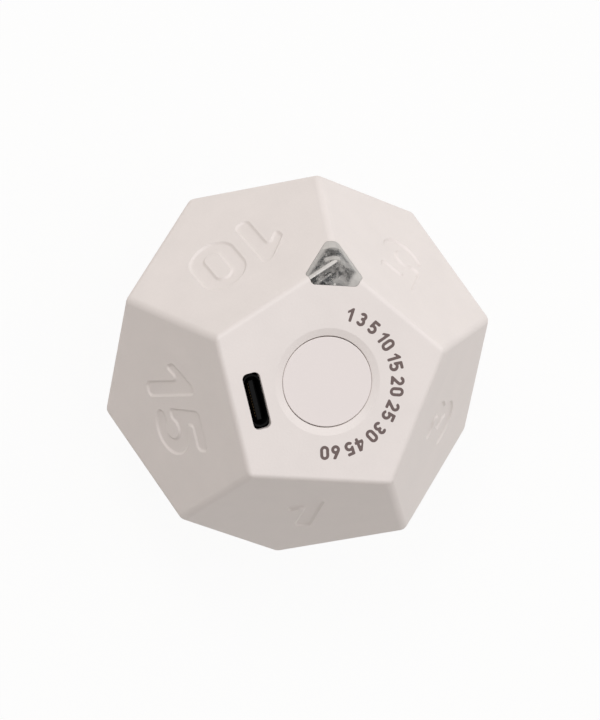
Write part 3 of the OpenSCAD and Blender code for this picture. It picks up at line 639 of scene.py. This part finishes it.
# Finishes inside the housing, most by the record's slot: colour, roughness, grain to a metre, depth of the
# grain in metres, spread of the tone, and what else sets the finish apart
INSIDE_FINISHES = {
    # Painted shade: the socket's metal, plastic and gold contacts are far darker than their own colours, so that
    # the charging slot reads as a dark hole
    "socket_metal": ((0.005, 0.005, 0.005), 0.5, 900, 1e-5, 0.2, {"shine": 0.06}),
    "socket_plastic": ((0.006, 0.006, 0.006), 0.5, 1500, 2e-5, 0.2, {"shine": 0.1}),
    "contact_gold": ((0.12, 0.08, 0.04), 0.5, 2500, 3e-6, 0.08, {"metal": 1.0}),
    # Painted shade: the board is made near-black so that the inside of the housing looks dark through the clear
    # corner
    "board": ((0.1, 0.102, 0.104), 0.35, 1800, 8e-6, 0.25, {"coat": 0.3}),
    "tin": ((0.55, 0.55, 0.56), 0.32, 2500, 4e-6, 0.08, {"metal": 1.0}),
    "chip_plastic": ((0.02, 0.02, 0.025), 0.6, 3000, 1e-5, 0.15, {}),
    "plunger_plastic": ((0.8, 0.78, 0.74), 0.45, 2500, 6e-6, 0.03, {}),
    "light_base": ((0.04, 0.04, 0.042), 0.45, 2500, 6e-6, 0.15, {}),
    "light_ring": ((0.8, 0.79, 0.77), 0.35, 2500, 5e-6, 0.04, {"coat": 0.3}),
    "capacitor": ((0.48, 0.33, 0.15), 0.5, 2500, 8e-6, 0.12, {}),
    "copper": ((0.6, 0.25, 0.1), 0.35, 4000, 3e-5, 0.15, {"metal": 1.0, "coat": 0.3}),
    "cell_foil": ((0.5, 0.52, 0.56), 0.4, 400, 4e-5, 0.06, {"metal": 0.9}),
    "guard_board": ((0.03, 0.1, 0.26), 0.35, 1800, 8e-6, 0.25, {"coat": 0.3}),
    "foam": ((0.16, 0.16, 0.17), 0.9, 1400, 1.2e-4, 0.3, {}),
    "lead_red": ((0.45, 0.02, 0.01), 0.45, 1200, 1e-5, 0.1, {}),
    "lead_black": ((0.01, 0.01, 0.012), 0.45, 1200, 1e-5, 0.1, {}),
    "connector": ((0.82, 0.79, 0.7), 0.5, 2500, 6e-6, 0.03, {}),
}


def inside_finish(slot):
    """One of the finishes inside the housing, made once."""
    name = slot + "_finish"
    if name not in bpy.data.materials:
        *plain, more = INSIDE_FINISHES[slot]
        moulded(name, *plain, **more)
    return bpy.data.materials[name]


def length_setting(label, description, millimetres):
    """A setting for a length."""
    return bpy.props.FloatProperty(
        name=label, description=description, default=millimetres * MM, unit="LENGTH", precision=6
    )


def color_setting(label, description, red, green, blue):
    """A setting for a colour."""
    return bpy.props.FloatVectorProperty(
        name=label, description=description, default=(red, green, blue), subtype="COLOR"
    )


class FlipTimerSettings(bpy.types.PropertyGroup):
    """Sizes and colours that can be changed."""

    edge_round: length_setting("Edge rounding", "Radius along the edges of the housing", 1.6)
    button_face_round: length_setting("Face rounding", "Radius along the edges of the button face", 1.1)
    wall: length_setting("Wall", "Thickness of the housing", 1.5)
    seam_gap: length_setting("Seam gap", "Gap between the halves of the housing", 0.1)
    rim_round: length_setting("Rim rounding", "Rounding along the seam and round the lens", 0.08)
    button_radius: length_setting("Button radius", "Radius of the push button", 7.5)
    button_gap: length_setting("Button gap", "Gap round the push button", 0.09)
    button_round: length_setting("Button rounding", "Rounding of the button's edge", 0.12)
    dish_radius: length_setting("Dish radius", "Outer radius of the dish round the button", 8.95)
    dish_depth: length_setting("Dish depth", "Depth of the dish where it meets the button", 0.45)
    slot_length: length_setting("Slot length", "Length of the charging slot", 9.5)
    slot_width: length_setting("Slot width", "Width of the charging slot", 2.9)
    slot_round: length_setting("Slot rounding", "Radius in the corners of the charging slot", 0.9)
    slot_place: length_setting("Slot place", "Distance of the charging slot from the button's middle", 12.3)
    lens_side: length_setting("Lens side", "Distance of the lens's long sides from its axis", 3.4)
    lens_corner: length_setting("Lens corner", "Distance of the lens's cut corners from its axis", 5.0)
    lens_round: length_setting("Lens rounding", "Radius in the corners of the lens", 0.8)
    lens_gap: length_setting("Lens gap", "Gap round the lens", 0.05)
    lens_edge: length_setting("Lens edge", "Width of the lens's inner flange beyond its sides", 1.0)
    lens_seat: length_setting("Lens seat", "Depth at which the lens's flange meets the housing", 1.82)
    lens_floor: length_setting("Lens floor", "Depth of the lens's inner faces", 3.02)
    lens_bend: length_setting("Lens bend", "Rounding of the lens's inner edges", 0.7)
    guide_radius: length_setting("Guide radius", "Radius of the lens's light guide", 0.75)
    guide_length: length_setting("Guide length", "Length of the lens's light guide", 2.2)
    print_film: length_setting("Print film", "Thickness of the printed scale", 0.02)
    print_radius: length_setting("Scale radius", "Radius of the printed scale", 11.8)
    print_height: length_setting("Scale height", "Height of the printed numbers", 2.35)
    shell_color: color_setting("Housing", "Colour of the housing", 0.772, 0.708, 0.672)
    button_color: color_setting("Button", "Colour of the button", 0.78, 0.71, 0.682)
    print_color: color_setting("Print", "Colour of the printed scale", 0.14, 0.098, 0.09)
    lens_color: color_setting("Lens", "Tint of the clear corner", 0.96, 0.955, 0.945)


def size(name):
    """A length from the settings, in millimetres."""
    return getattr(bpy.context.scene.flip_timer, name) / MM


def paint(name):
    """A colour from the settings."""
    return getattr(bpy.context.scene.flip_timer, name)


def cut_body(name, inset):
    """The whole body with sharp edges: a block cut off along each of its twelve faces."""
    clear_selection()
    bpy.ops.mesh.primitive_cube_add(size=4 * FACE_R, location=MIDDLE)
    obj = bpy.context.active_object
    obj.name = name
    apply_place(obj)
    edit(obj)
    for normal in UPPER_NORMALS + LOWER_NORMALS:
        bpy.ops.mesh.select_all(action="SELECT")
        bpy.ops.mesh.bisect(
            plane_co=MIDDLE + normal * (FACE_R - inset),
            plane_no=normal,
            use_fill=True,
            clear_outer=True,
            threshold=1e-5,
        )
    bpy.ops.object.mode_set(mode="OBJECT")
    return obj


# Bevel profile that makes the edges between these faces truly round
ROUND_PROFILE = 0.53


def rounded_body(name, inset, rounding):
    """The whole body with its edges and corners rounded, the edges of the button face less."""
    obj = cut_body(name, inset)
    weights = obj.data.attributes.new("bevel_weight_edge", "FLOAT", "EDGE").data
    less = size("button_face_round") / size("edge_round")
    for edge in obj.data.edges:
        low = min(obj.data.vertices[i].co.z for i in edge.vertices)
        weights[edge.index].value = less if low > TOP_Z - inset - 1 else 1.0
    reach = rounding * math.tan(math.radians(SIDE_TILT / 2))
    modify(obj, "BEVEL", width=reach, segments=8, profile=ROUND_PROFILE, limit_method="WEIGHT")
    return obj


def housing_half(body, name, upper):
    """One half of the housing: its faces, closed towards the middle at the waist and hollowed."""
    obj = copy_of(body, name)
    normals = UPPER_NORMALS + LOWER_NORMALS

    def other_side(face):
        out = face.calc_center_median() - MIDDLE
        return (max(normals, key=out.dot) in UPPER_NORMALS) != upper

    edit(obj)
    pick("FACE", other_side)
    bpy.ops.mesh.delete(type="FACE")
    pick("EDGE", lambda edge: edge.is_boundary)
    bpy.ops.mesh.mark_seam(clear=False)
    lift = size("seam_gap") / 2
    bpy.ops.transform.translate(value=(0, 0, lift if upper else -lift))
    bpy.ops.transform.resize(value=(SEAM_DRAW, SEAM_DRAW, 1), center_override=MIDDLE)
    bpy.ops.mesh.extrude_edges_move()
    bpy.ops.transform.resize(value=(0, 0, 0), center_override=MIDDLE)
    seal()
    pick("EDGE", lambda edge: edge.seam)
    bpy.ops.mesh.bevel(offset=size("rim_round"), segments=2, profile=0.5, affect="EDGES")
    bpy.ops.object.mode_set(mode="OBJECT")
    combine(obj, cut_body("inner", size("wall")), "DIFFERENCE")
    return obj


def number_outlines(number, scale):
    """Outlines of a number, centred, and its width."""
    outlines, x = [], 0.0
    for digit in number:
        for points, rounding in zip(NUMERALS[digit], (NUMERAL_ROUND, NUMERAL_ROUND[::-1])):
            outlines.append([((px + x) * scale, py * scale) for px, py in soften(points, *rounding)])
        x += NUMERAL_W[digit] + NUMERAL_GAP
    width = (x - NUMERAL_GAP) * scale
    return [[(px - width / 2, py) for px, py in points] for points in outlines], width


# Wall of an engraved numeral from above the face down to its floor: how far out, how high
ENGRAVED_WALL = (
    (0.2, 0.05),
    (0.08, -0.03),
    (0, -0.075),
    (-0.08, -0.135),
    (-0.16, -0.215),
    (-0.24, -0.285),
    (-0.35, -0.335),
    (-0.47, -0.36),
)


def number_cutters(faces, tilt):
    """Cutters for the engraved numbers of a ring of faces."""
    made = []
    for turn, number in faces.items():
        outlines, _ = number_outlines(number, 1.0)
        obj = sunk("number_" + number, outlines, ENGRAVED_WALL)
        set_matrix(obj, face_place(toward(turn, tilt), Vector((0, 0, 1))))
        made.append(obj)
    return made


# Line of the dish's mouth from its outer radius, and of the hole's rim from the hole's wall and the foot of
# the dish: how far out, how high
DISH_MOUTH = ((0.6, 1), (0.6, 0.4), (0.1, 0.03), (-0.1, -0.07))
HOLE_RIM = ((0.15, 0.07), (0.06, 0), (0.02, -0.06), (0, -0.15))


def dish_cutter():
    """Cutter for the button's hole and the shallow dish round it."""
    deep = size("dish_depth")
    hole = size("button_radius") + size("button_gap")
    mouth = [(size("dish_radius") + out, up) for out, up in DISH_MOUTH]
    rim = [(hole + out, up - deep) for out, up in HOLE_RIM]
    line = [(0, mouth[0][1]), *mouth, *rim, (hole, -CUT_DEPTH), (0, -CUT_DEPTH)]
    obj = lathed("dish", [(radius, TOP_Z + up) for radius, up in line], LARGE_STEPS)
    turn = Matrix.Rotation(math.radians(HOLE_TURN), 4, "Z")
    set_matrix(obj, turn @ Matrix.Diagonal((1 + HOLE_OVAL, 1 - HOLE_OVAL, 1, 1)))
    return obj


def slot_outline(length, width, radius):
    """Outline of a slot with round corners."""
    x, y = length / 2 - radius, width / 2 - radius
    corners = ((x, y, 0), (-x, y, 90), (-x, -y, 180), (x, -y, 270))
    return [p for cx, cy, turn in corners for p in arc(cx, cy, radius, turn, turn + 90)]


# Wall of the charging slot, down from its softened mouth: how far out, how high
SLOT_WALL = ((0.25, 0.15), (0.08, -0.05), (0.03, -0.12), (0, -0.25), (0, -CUT_DEPTH))


def slot_cutter():
    """Cutter for the charging slot."""
    outline = slot_outline(size("slot_length"), size("slot_width"), size("slot_round"))
    obj = sunk("slot", [outline], SLOT_WALL)
    turn = Matrix.Rotation(math.radians(SOCKET_TURN), 4, "Z")
    across = Matrix.Rotation(math.pi / 2, 4, "Z")
    set_matrix(obj, turn @ Matrix.Translation((size("slot_place"), 0, TOP_Z)) @ across)
    return obj


def corner_prism(name, grow):
    """Three-sided prism with cut corners, along the axis of the clear corner."""
    outline = []
    for k in range(6):
        first, last = (toward(60 * i, 90).to_2d() for i in (k, k + 1))
        near, far = (size("lens_side" if i % 2 else "lens_corner") + grow for i in (k, k + 1))
        # Where two neighbouring sides cross, whose directions are 60 degrees apart
        outline.append(((first - last / 2) * near + (last - first / 2) * far) / 0.75)
    rounding = size("lens_round") + grow
    obj = sunk(name, [soften(outline, rounding, rounding)], ((0, 1), (0, -LENS_REACH)))
    set_matrix(obj, LENS_PLACE)
    return obj


def soften_lens_edge(obj):
    """Rounds the sharp outer edges of a piece round the lens."""

    def outer_edge(edge):
        middle = (edge.verts[0].co + edge.verts[1].co) / 2
        if not edge.is_manifold or edge.calc_face_angle() < math.radians(40):
            return False
        near = (LENS_PLACE.inverted() @ middle).to_2d().length < size("lens_corner") + 1
        deep = FACE_R - max(normal.dot(middle - MIDDLE) for normal in UPPER_NORMALS + LOWER_NORMALS)
        return near and middle.z > FACE_R and deep < size("edge_round")

    edit(obj)
    pick("EDGE", outer_edge)
    bpy.ops.mesh.bevel(
        offset=size("rim_round"), segments=2, profile=0.5, affect="EDGES", clamp_overlap=True
    )
    bpy.ops.object.mode_set(mode="OBJECT")


class FLIPTIMER_OT_housing(bpy.types.Operator):
    """Builds both halves of the housing, with their numbers and openings"""

    bl_idname = "flip_timer.housing"
    bl_label = "Build Housing"

    def execute(self, context):
        body = rounded_body("body", size("print_film"), size("edge_round"))
        upper = housing_half(body, "upper_housing", True)
        lower = housing_half(body, "lower_housing", False)
        bpy.data.objects.remove(body)
        upper_cuts = number_cutters(UPPER_FACES, SIDE_TILT)
        upper_cuts += [dish_cutter(), slot_cutter(), corner_prism("lens_opening", size("lens_gap"))]
        lower_cuts = number_cutters(LOWER_FACES, 180 - SIDE_TILT)
        combine(upper, merged(upper_cuts, "upper_cuts"), "DIFFERENCE")
        combine(lower, merged(lower_cuts, "lower_cuts"), "DIFFERENCE")
        soften_lens_edge(upper)
        color = paint("shell_color")
        plastic = moulded("matte_shell", color, rough=0.47, grain=2600, depth=1e-5, spread=0.065)
        finish_piece(upper, "case", ["upper_shell"], plastic, smooth=50)
        finish_piece(lower, "case", ["lower_shell"], plastic, smooth=50)
        return {"FINISHED"}


# The button's retaining flange and the post that presses the switch
FLANGE_T = 0.8
POST_R = 2.0


class FLIPTIMER_OT_button(bpy.types.Operator):
    """Builds the push button with its flange and post"""

    bl_idname = "flip_timer.button"
    bl_label = "Build Button"

    def execute(self, context):
        low, high = (corner.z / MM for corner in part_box("button_cap"))
        radius, rim = size("button_radius"), size("button_round")
        flange_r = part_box("button_cap")[1].x / MM
        flange_top = TOP_Z - size("lens_seat")
        flange_low = flange_top - FLANGE_T
        top = [(0, high), (radius - 2 * rim, high)]
        bend = arc(radius - rim, high - rim, rim, 90, 0, step=15)
        skirt = [(radius, flange_top), (flange_r, flange_top), (flange_r, flange_low)]
        post = [(POST_R, flange_low), (POST_R, low + rim), (POST_R - rim, low), (0, low)]
        obj = lathed("push_button", top + bend + skirt + post, LARGE_STEPS)
        color = paint("button_color")
        plastic = moulded("matte_button", color, rough=0.5, grain=3000, depth=6e-6, spread=0.01)
        finish_piece(obj, "button", ["button_cap"], plastic, smooth=40)
        return {"FINISHED"}


class FLIPTIMER_OT_lens(bpy.types.Operator):
    """Builds the clear corner with its flange and light guide"""

    bl_idname = "flip_timer.lens"
    bl_label = "Build Corner Lens"

    def execute(self, context):
        lens = rounded_body("corner_lens", size("print_film"), size("edge_round"))
        combine(lens, corner_prism("plug", 0), "INTERSECT")
        flange = cut_body("flange", size("lens_seat"))
        combine(flange, corner_prism("flange_edge", size("lens_edge")), "INTERSECT")
        combine(lens, flange, "UNION")
        combine(lens, rounded_body("hollow", size("lens_floor"), size("lens_bend")), "DIFFERENCE")
        radius, top = size("guide_radius"), TOP_Z - size("lens_floor") + GUIDE_ROOT
        low = top - size("guide_length")
        end = [(radius, low), (radius * GUIDE_HOLLOW_R, low), (0, low + radius * GUIDE_HOLLOW_H)]
        guide = lathed("guide", [(0, top), (radius, top)] + end, SMALL_STEPS)
        set_matrix(guide, Matrix.Translation(GUIDE_PLACE))
        combine(lens, guide, "UNION")
        soften_lens_edge(lens)
        plastic = clear_plastic(paint("lens_color"))
        finish_piece(lens, "case", ["light_lens"], plastic, smooth=30)
        return {"FINISHED"}


# The light's base: its height, bevel, and the width and depth of its well
LIGHT_BASE_H = 0.45
LIGHT_BEVEL = 0.08
LIGHT_RIM = 0.25
LIGHT_WELL = 0.1

# Ring round the light, which sinks into its base: its crown runs outwards through pairs of a radius and how
# far below the top
LIGHT_INNER_R = 0.55
LIGHT_OUTER_R = 1.05
LIGHT_SINK = 0.2
LIGHT_CROWN = ((0.8, 0.05), (0.88, 0), (0.96, 0.05), (1.0, 0.2))


class FLIPTIMER_OT_light(bpy.types.Operator):
    """Builds the light under the clear corner: a dark base with a pale ring"""

    bl_idname = "flip_timer.light"
    bl_label = "Build Light"

    def execute(self, context):
        low, high = (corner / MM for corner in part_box("status_led"))
        middle, step = (low + high) / 2, low.z + LIGHT_BASE_H
        clear_selection()
        bpy.ops.mesh.primitive_cube_add(size=1, location=(middle.x, middle.y, (low.z + step) / 2))
        base = bpy.context.active_object
        base.name = "light_base"
        base.scale = (high.x - low.x, high.y - low.y, step - low.z)
        apply_place(base)
        edit(base)
        bpy.ops.mesh.bevel(offset=LIGHT_BEVEL, segments=2, profile=0.5, affect="EDGES")
        pick("FACE", lambda face: face.normal.z > 0.99)
        bpy.ops.mesh.inset(thickness=LIGHT_RIM, depth=-LIGHT_WELL)
        foot = step - LIGHT_SINK
        crown = [(radius, high.z - down) for radius, down in LIGHT_CROWN]
        inside = [(LIGHT_INNER_R, foot), (LIGHT_INNER_R, step)]
        outside = [(LIGHT_OUTER_R, foot), (LIGHT_INNER_R, foot)]
        ring = lathed("light_ring", inside + crown + outside, SMALL_STEPS)
        set_matrix(ring, Matrix.Translation((middle.x, middle.y, 0)))
        finish_piece(base, "case", ["status_led"], inside_finish("light_base"), smooth=40)
        finish_piece(ring, "case", [], inside_finish("light_ring"), smooth=40)
        return {"FINISHED"}


# The printed scale: its numbers, and the turns at which it starts and stops
SCALE_NUMBERS = ("1", "3", "5", "10", "15", "20", "25", "30", "45", "60")
SCALE_START = 78
SCALE_STOP = -92


class FLIPTIMER_OT_scale(bpy.types.Operator):
    """Prints the scale of minutes round the button"""

    bl_idname = "flip_timer.scale"
    bl_label = "Print Minute Scale"

    def execute(self, context):
        radius, film = size("print_radius"), size("print_film")
        scale = size("print_height") / NUMERAL_H
        start, stop = math.radians(SCALE_START), math.radians(SCALE_STOP)
        made = [(n, *number_outlines(n, scale)) for n in SCALE_NUMBERS]
        room = (start - stop) * radius - sum(width for *_, width in made)
        gap = room / (len(made) - 1)
        along = 0.0
        pieces = []
        for number, outlines, width in made:
            turn = start - (along + width / 2) / radius
            along += width + gap
            flat = sunk("mark_" + number, outlines, ((0, film), (0, 0)))
            spot = Vector((math.cos(turn), math.sin(turn), 0)) * radius + Vector((0, 0, TOP_Z - film))
            set_matrix(flat, Matrix.Translation(spot) @ Matrix.Rotation(turn - math.pi / 2, 4, "Z"))
            pieces.append(flat)
        ink = moulded("brown_ink", paint("print_color"), rough=0.6, grain=5000, depth=4e-6, spread=0.12)
        finish_piece(merged(pieces, "minute_scale"), "case", [], ink, smooth=30)
        return {"FINISHED"}


# Thickness of the snap dome's sheet
DOME_SHEET = 0.1


class FLIPTIMER_OT_dome(bpy.types.Operator):
    """Builds the switch's snap dome"""

    bl_idname = "flip_timer.dome"
    bl_label = "Build Snap Dome"

    def execute(self, context):
        low, high = (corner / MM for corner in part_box("switch_dome"))
        tall = high.z - low.z
        rise = tall - DOME_SHEET
        radius = (high.x**2 + rise**2) / (2 * rise)
        clear_selection()
        bpy.ops.mesh.primitive_uv_sphere_add(
            segments=SMALL_STEPS,
            ring_count=2 * SMALL_STEPS,
            radius=radius,
            location=(0, 0, high.z - radius),
        )
        dome = bpy.context.active_object
        dome.name = "snap_dome"
        apply_place(dome)
        edit(dome)
        bpy.ops.mesh.bisect(plane_co=(0, 0, high.z - rise), plane_no=(0, 0, 1), clear_inner=True)
        bpy.ops.object.mode_set(mode="OBJECT")
        modify(dome, "SOLIDIFY", thickness=DOME_SHEET, offset=-1)
        finish_piece(dome, "case", ["switch_dome"], inside_finish("tin"), smooth=40)
        joints = {joint["name"]: joint for joint in frame["joints"]}
        travel = joints["plunger_press"]["range_m"][1] / MM
        1 - travel / tall
        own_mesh(dome)
        return {"FINISHED"}


# The foam pad: its corner radius, how far its sides pull in and in how many steps, and its edge as pairs of
# how far out and how deep
PAD_ROUND = 1.0
PAD_PULL = 0.25
PAD_STEPS = 8
PAD_EDGE = ((-0.3, 0), (-0.12, 0.05), (-0.03, 0.15), (0, 0.3))


def pad_outline(length, width):
    """Outline of a pad whose sides pull in between its round corners."""
    corners = slot_outline(length, width, PAD_ROUND)
    quarter = len(corners) // 4
    outline = []
    for k in range(4):
        side = corners[k * quarter : (k + 1) * quarter]
        first, last = Vector(side[-1]), Vector(corners[(k + 1) * quarter % len(corners)])
        inward = Vector((first.y - last.y, last.x - first.x)).normalized() * PAD_PULL
        steps = [i / PAD_STEPS for i in range(1, PAD_STEPS)]
        outline += side + [tuple(first.lerp(last, t) + inward * 4 * t * (1 - t)) for t in steps]
    return outline


class FLIPTIMER_OT_pad(bpy.types.Operator):
    """Builds the foam pad that the battery is pressed on"""

    bl_idname = "flip_timer.pad"
    bl_label = "Build Foam Pad"

    def execute(self, context):
        low, high = (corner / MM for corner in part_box("battery_pad"))
        wall = [(out, high.z - down) for out, down in PAD_EDGE]
        wall += [(out, low.z + up) for out, up in reversed(PAD_EDGE)]
        pad = sunk("foam_pad", [pad_outline(high.x - low.x, high.y - low.y)], wall)
        finish_piece(pad, "case", ["battery_pad"], inside_finish("foam"), smooth=50)
        return {"FINISHED"}


class FLIPTIMER_OT_inside(bpy.types.Operator):
    """Gives the socket and the parts inside their finishes"""

    bl_idname = "flip_timer.inside"
    bl_label = "Finish Inner Parts"

    def execute(self, context):
        for part in frame["record"]["subparts"]:
            slot, name = part["material_slot"], part["node"]
            if slot not in INSIDE_FINISHES:
                continue
            mesh = frame["nodes"][name].data
            mesh.materials.clear()
            mesh.materials.append(inside_finish(slot))
        return {"FINISHED"}


# Camera, from the corners of the photographed body
CAMERA_PLACE = (-0.22216, 0.11023, 1.13806)
CAMERA_RIGHT = Vector((0.97935, 0.07145, 0.1891))
CAMERA_UP = Vector((-0.05156, 0.9928, -0.1081))
CAMERA_LENS = 335.9

# Soft light all round: its level, how it grows along each axis, and its colours where weak and strong
ROUND_LEVEL = 0.244
ROUND_SLOPE = (0.285, 0.482, 0.907)
WEAK_COLOR = (1.0, 0.866, 0.762, 1.0)
STRONG_COLOR = (0.99, 1.0, 1.025, 1.0)

# Softbox, whose reflection follows the edge from the button face to the 10
SOFTBOX_SIDE = Vector((-0.25, 0.5, 0.83)).normalized()
SOFTBOX_DISTANCE = 1.2
SOFTBOX_SIZE = 0.25
SOFTBOX_POWER = 2.4

# Floor: its width, its colour, and how much of pure white the camera sees in its place
FLOOR_SIZE = 4
FLOOR_COLOR = (0.78, 0.755, 0.71, 1.0)
FLOOR_ROUGH = 0.9
FLOOR_WHITE = 0.93


def set_camera(scene):
    """The camera, square on the photograph's frame."""
    camera = bpy.data.cameras.new("camera")
    camera.sensor_width = 36
    camera.lens = CAMERA_LENS
    eye = bpy.data.objects.new("camera", camera)
    turn = Matrix((CAMERA_RIGHT, CAMERA_UP, CAMERA_RIGHT.cross(CAMERA_UP))).transposed().to_4x4()
    eye.matrix_world = Matrix.Translation(CAMERA_PLACE) @ turn
    scene.collection.objects.link(eye)
    scene.camera = eye


def set_world(scene):
    """Soft light from all sides, stronger from above and behind."""
    scene.world = bpy.data.worlds.new("studio")
    scene.world.use_nodes = True
    nodes = Nodes(scene.world.node_tree, "Generated")
    level = nodes.dot(ROUND_SLOPE) + ROUND_LEVEL
    back = nodes.tree.nodes["Background"]
    nodes.feed(back.inputs["Color"], nodes.mix(level, WEAK_COLOR, STRONG_COLOR))
    nodes.feed(back.inputs["Strength"], nodes.calc("MAXIMUM", level, 0.0))


def set_softbox(scene):
    """A square soft lamp."""
    lamp = bpy.data.lights.new("softbox", "AREA")
    lamp.size = SOFTBOX_SIZE
    lamp.energy = SOFTBOX_POWER
    box = bpy.data.objects.new("softbox", lamp)
    box.location = MIDDLE * MM + SOFTBOX_SIDE * SOFTBOX_DISTANCE
    box.rotation_euler = SOFTBOX_SIDE.to_track_quat("Z", "Y").to_euler()
    scene.collection.objects.link(box)


def lay_floor():
    """A wide pale floor, which the camera sees as nearly white."""
    clear_selection()
    bpy.ops.mesh.primitive_plane_add(size=FLOOR_SIZE)
    floor = bpy.context.active_object
    floor.name = "floor"
    finish = Finish("pale_floor")
    finish.set(base_color=FLOOR_COLOR, roughness=FLOOR_ROUGH)
    names = ("Is Camera Ray", "Is Glossy Ray", "Is Transmission Ray")
    seen = finish.largest([finish.node("ShaderNodeLightPath", out=name) for name in names])
    white = finish.node("ShaderNodeEmission", None, {"Color": (1, 1, 1, 1), "Strength": 1.0})
    finish.blend(seen * FLOOR_WHITE, white)
    floor.data.materials.append(finish.material)


class FLIPTIMER_OT_stage(bpy.types.Operator):
    """Sets the camera, the soft studio light and the pale floor"""

    bl_idname = "flip_timer.stage"
    bl_label = "Set Stage"

    def execute(self, context):
        context.scene.view_settings.view_transform = "Standard"
        set_camera(context.scene)
        set_world(context.scene)
        set_softbox(context.scene)
        lay_floor()
        return {"FINISHED"}


class FLIPTIMER_PT_panel(bpy.types.Panel):
    """Lists the builders"""

    bl_idname = "FLIPTIMER_PT_panel"
    bl_label = "Flip Timer"
    bl_space_type = "VIEW_3D"
    bl_region_type = "UI"
    bl_category = "Flip Timer"

    def draw(self, context):
        for builder in BUILDERS:
            self.layout.operator(builder.bl_idname)
        for name in FlipTimerSettings.__annotations__:
            self.layout.prop(context.scene.flip_timer, name)


BUILDERS = (
    FLIPTIMER_OT_stage,
    FLIPTIMER_OT_housing,
    FLIPTIMER_OT_button,
    FLIPTIMER_OT_lens,
    FLIPTIMER_OT_light,
    FLIPTIMER_OT_scale,
    FLIPTIMER_OT_dome,
    FLIPTIMER_OT_pad,
    FLIPTIMER_OT_inside,
)
CLASSES = (FlipTimerSettings, *BUILDERS, FLIPTIMER_PT_panel)


def register():
    for cls in CLASSES:
        bpy.utils.register_class(cls)
    bpy.types.Scene.flip_timer = bpy.props.PointerProperty(type=FlipTimerSettings)


def unregister():
    del bpy.types.Scene.flip_timer
    for cls in reversed(CLASSES):
        bpy.utils.unregister_class(cls)


def main():
    register()
    bpy.ops.flip_timer.stage()
    bpy.ops.flip_timer.housing()
    bpy.ops.flip_timer.button()
    bpy.ops.flip_timer.lens()
    bpy.ops.flip_timer.light()
    bpy.ops.flip_timer.scale()
    bpy.ops.flip_timer.dome()
    bpy.ops.flip_timer.pad()
    bpy.ops.flip_timer.inside()


if __name__ == "__main__":
    main()
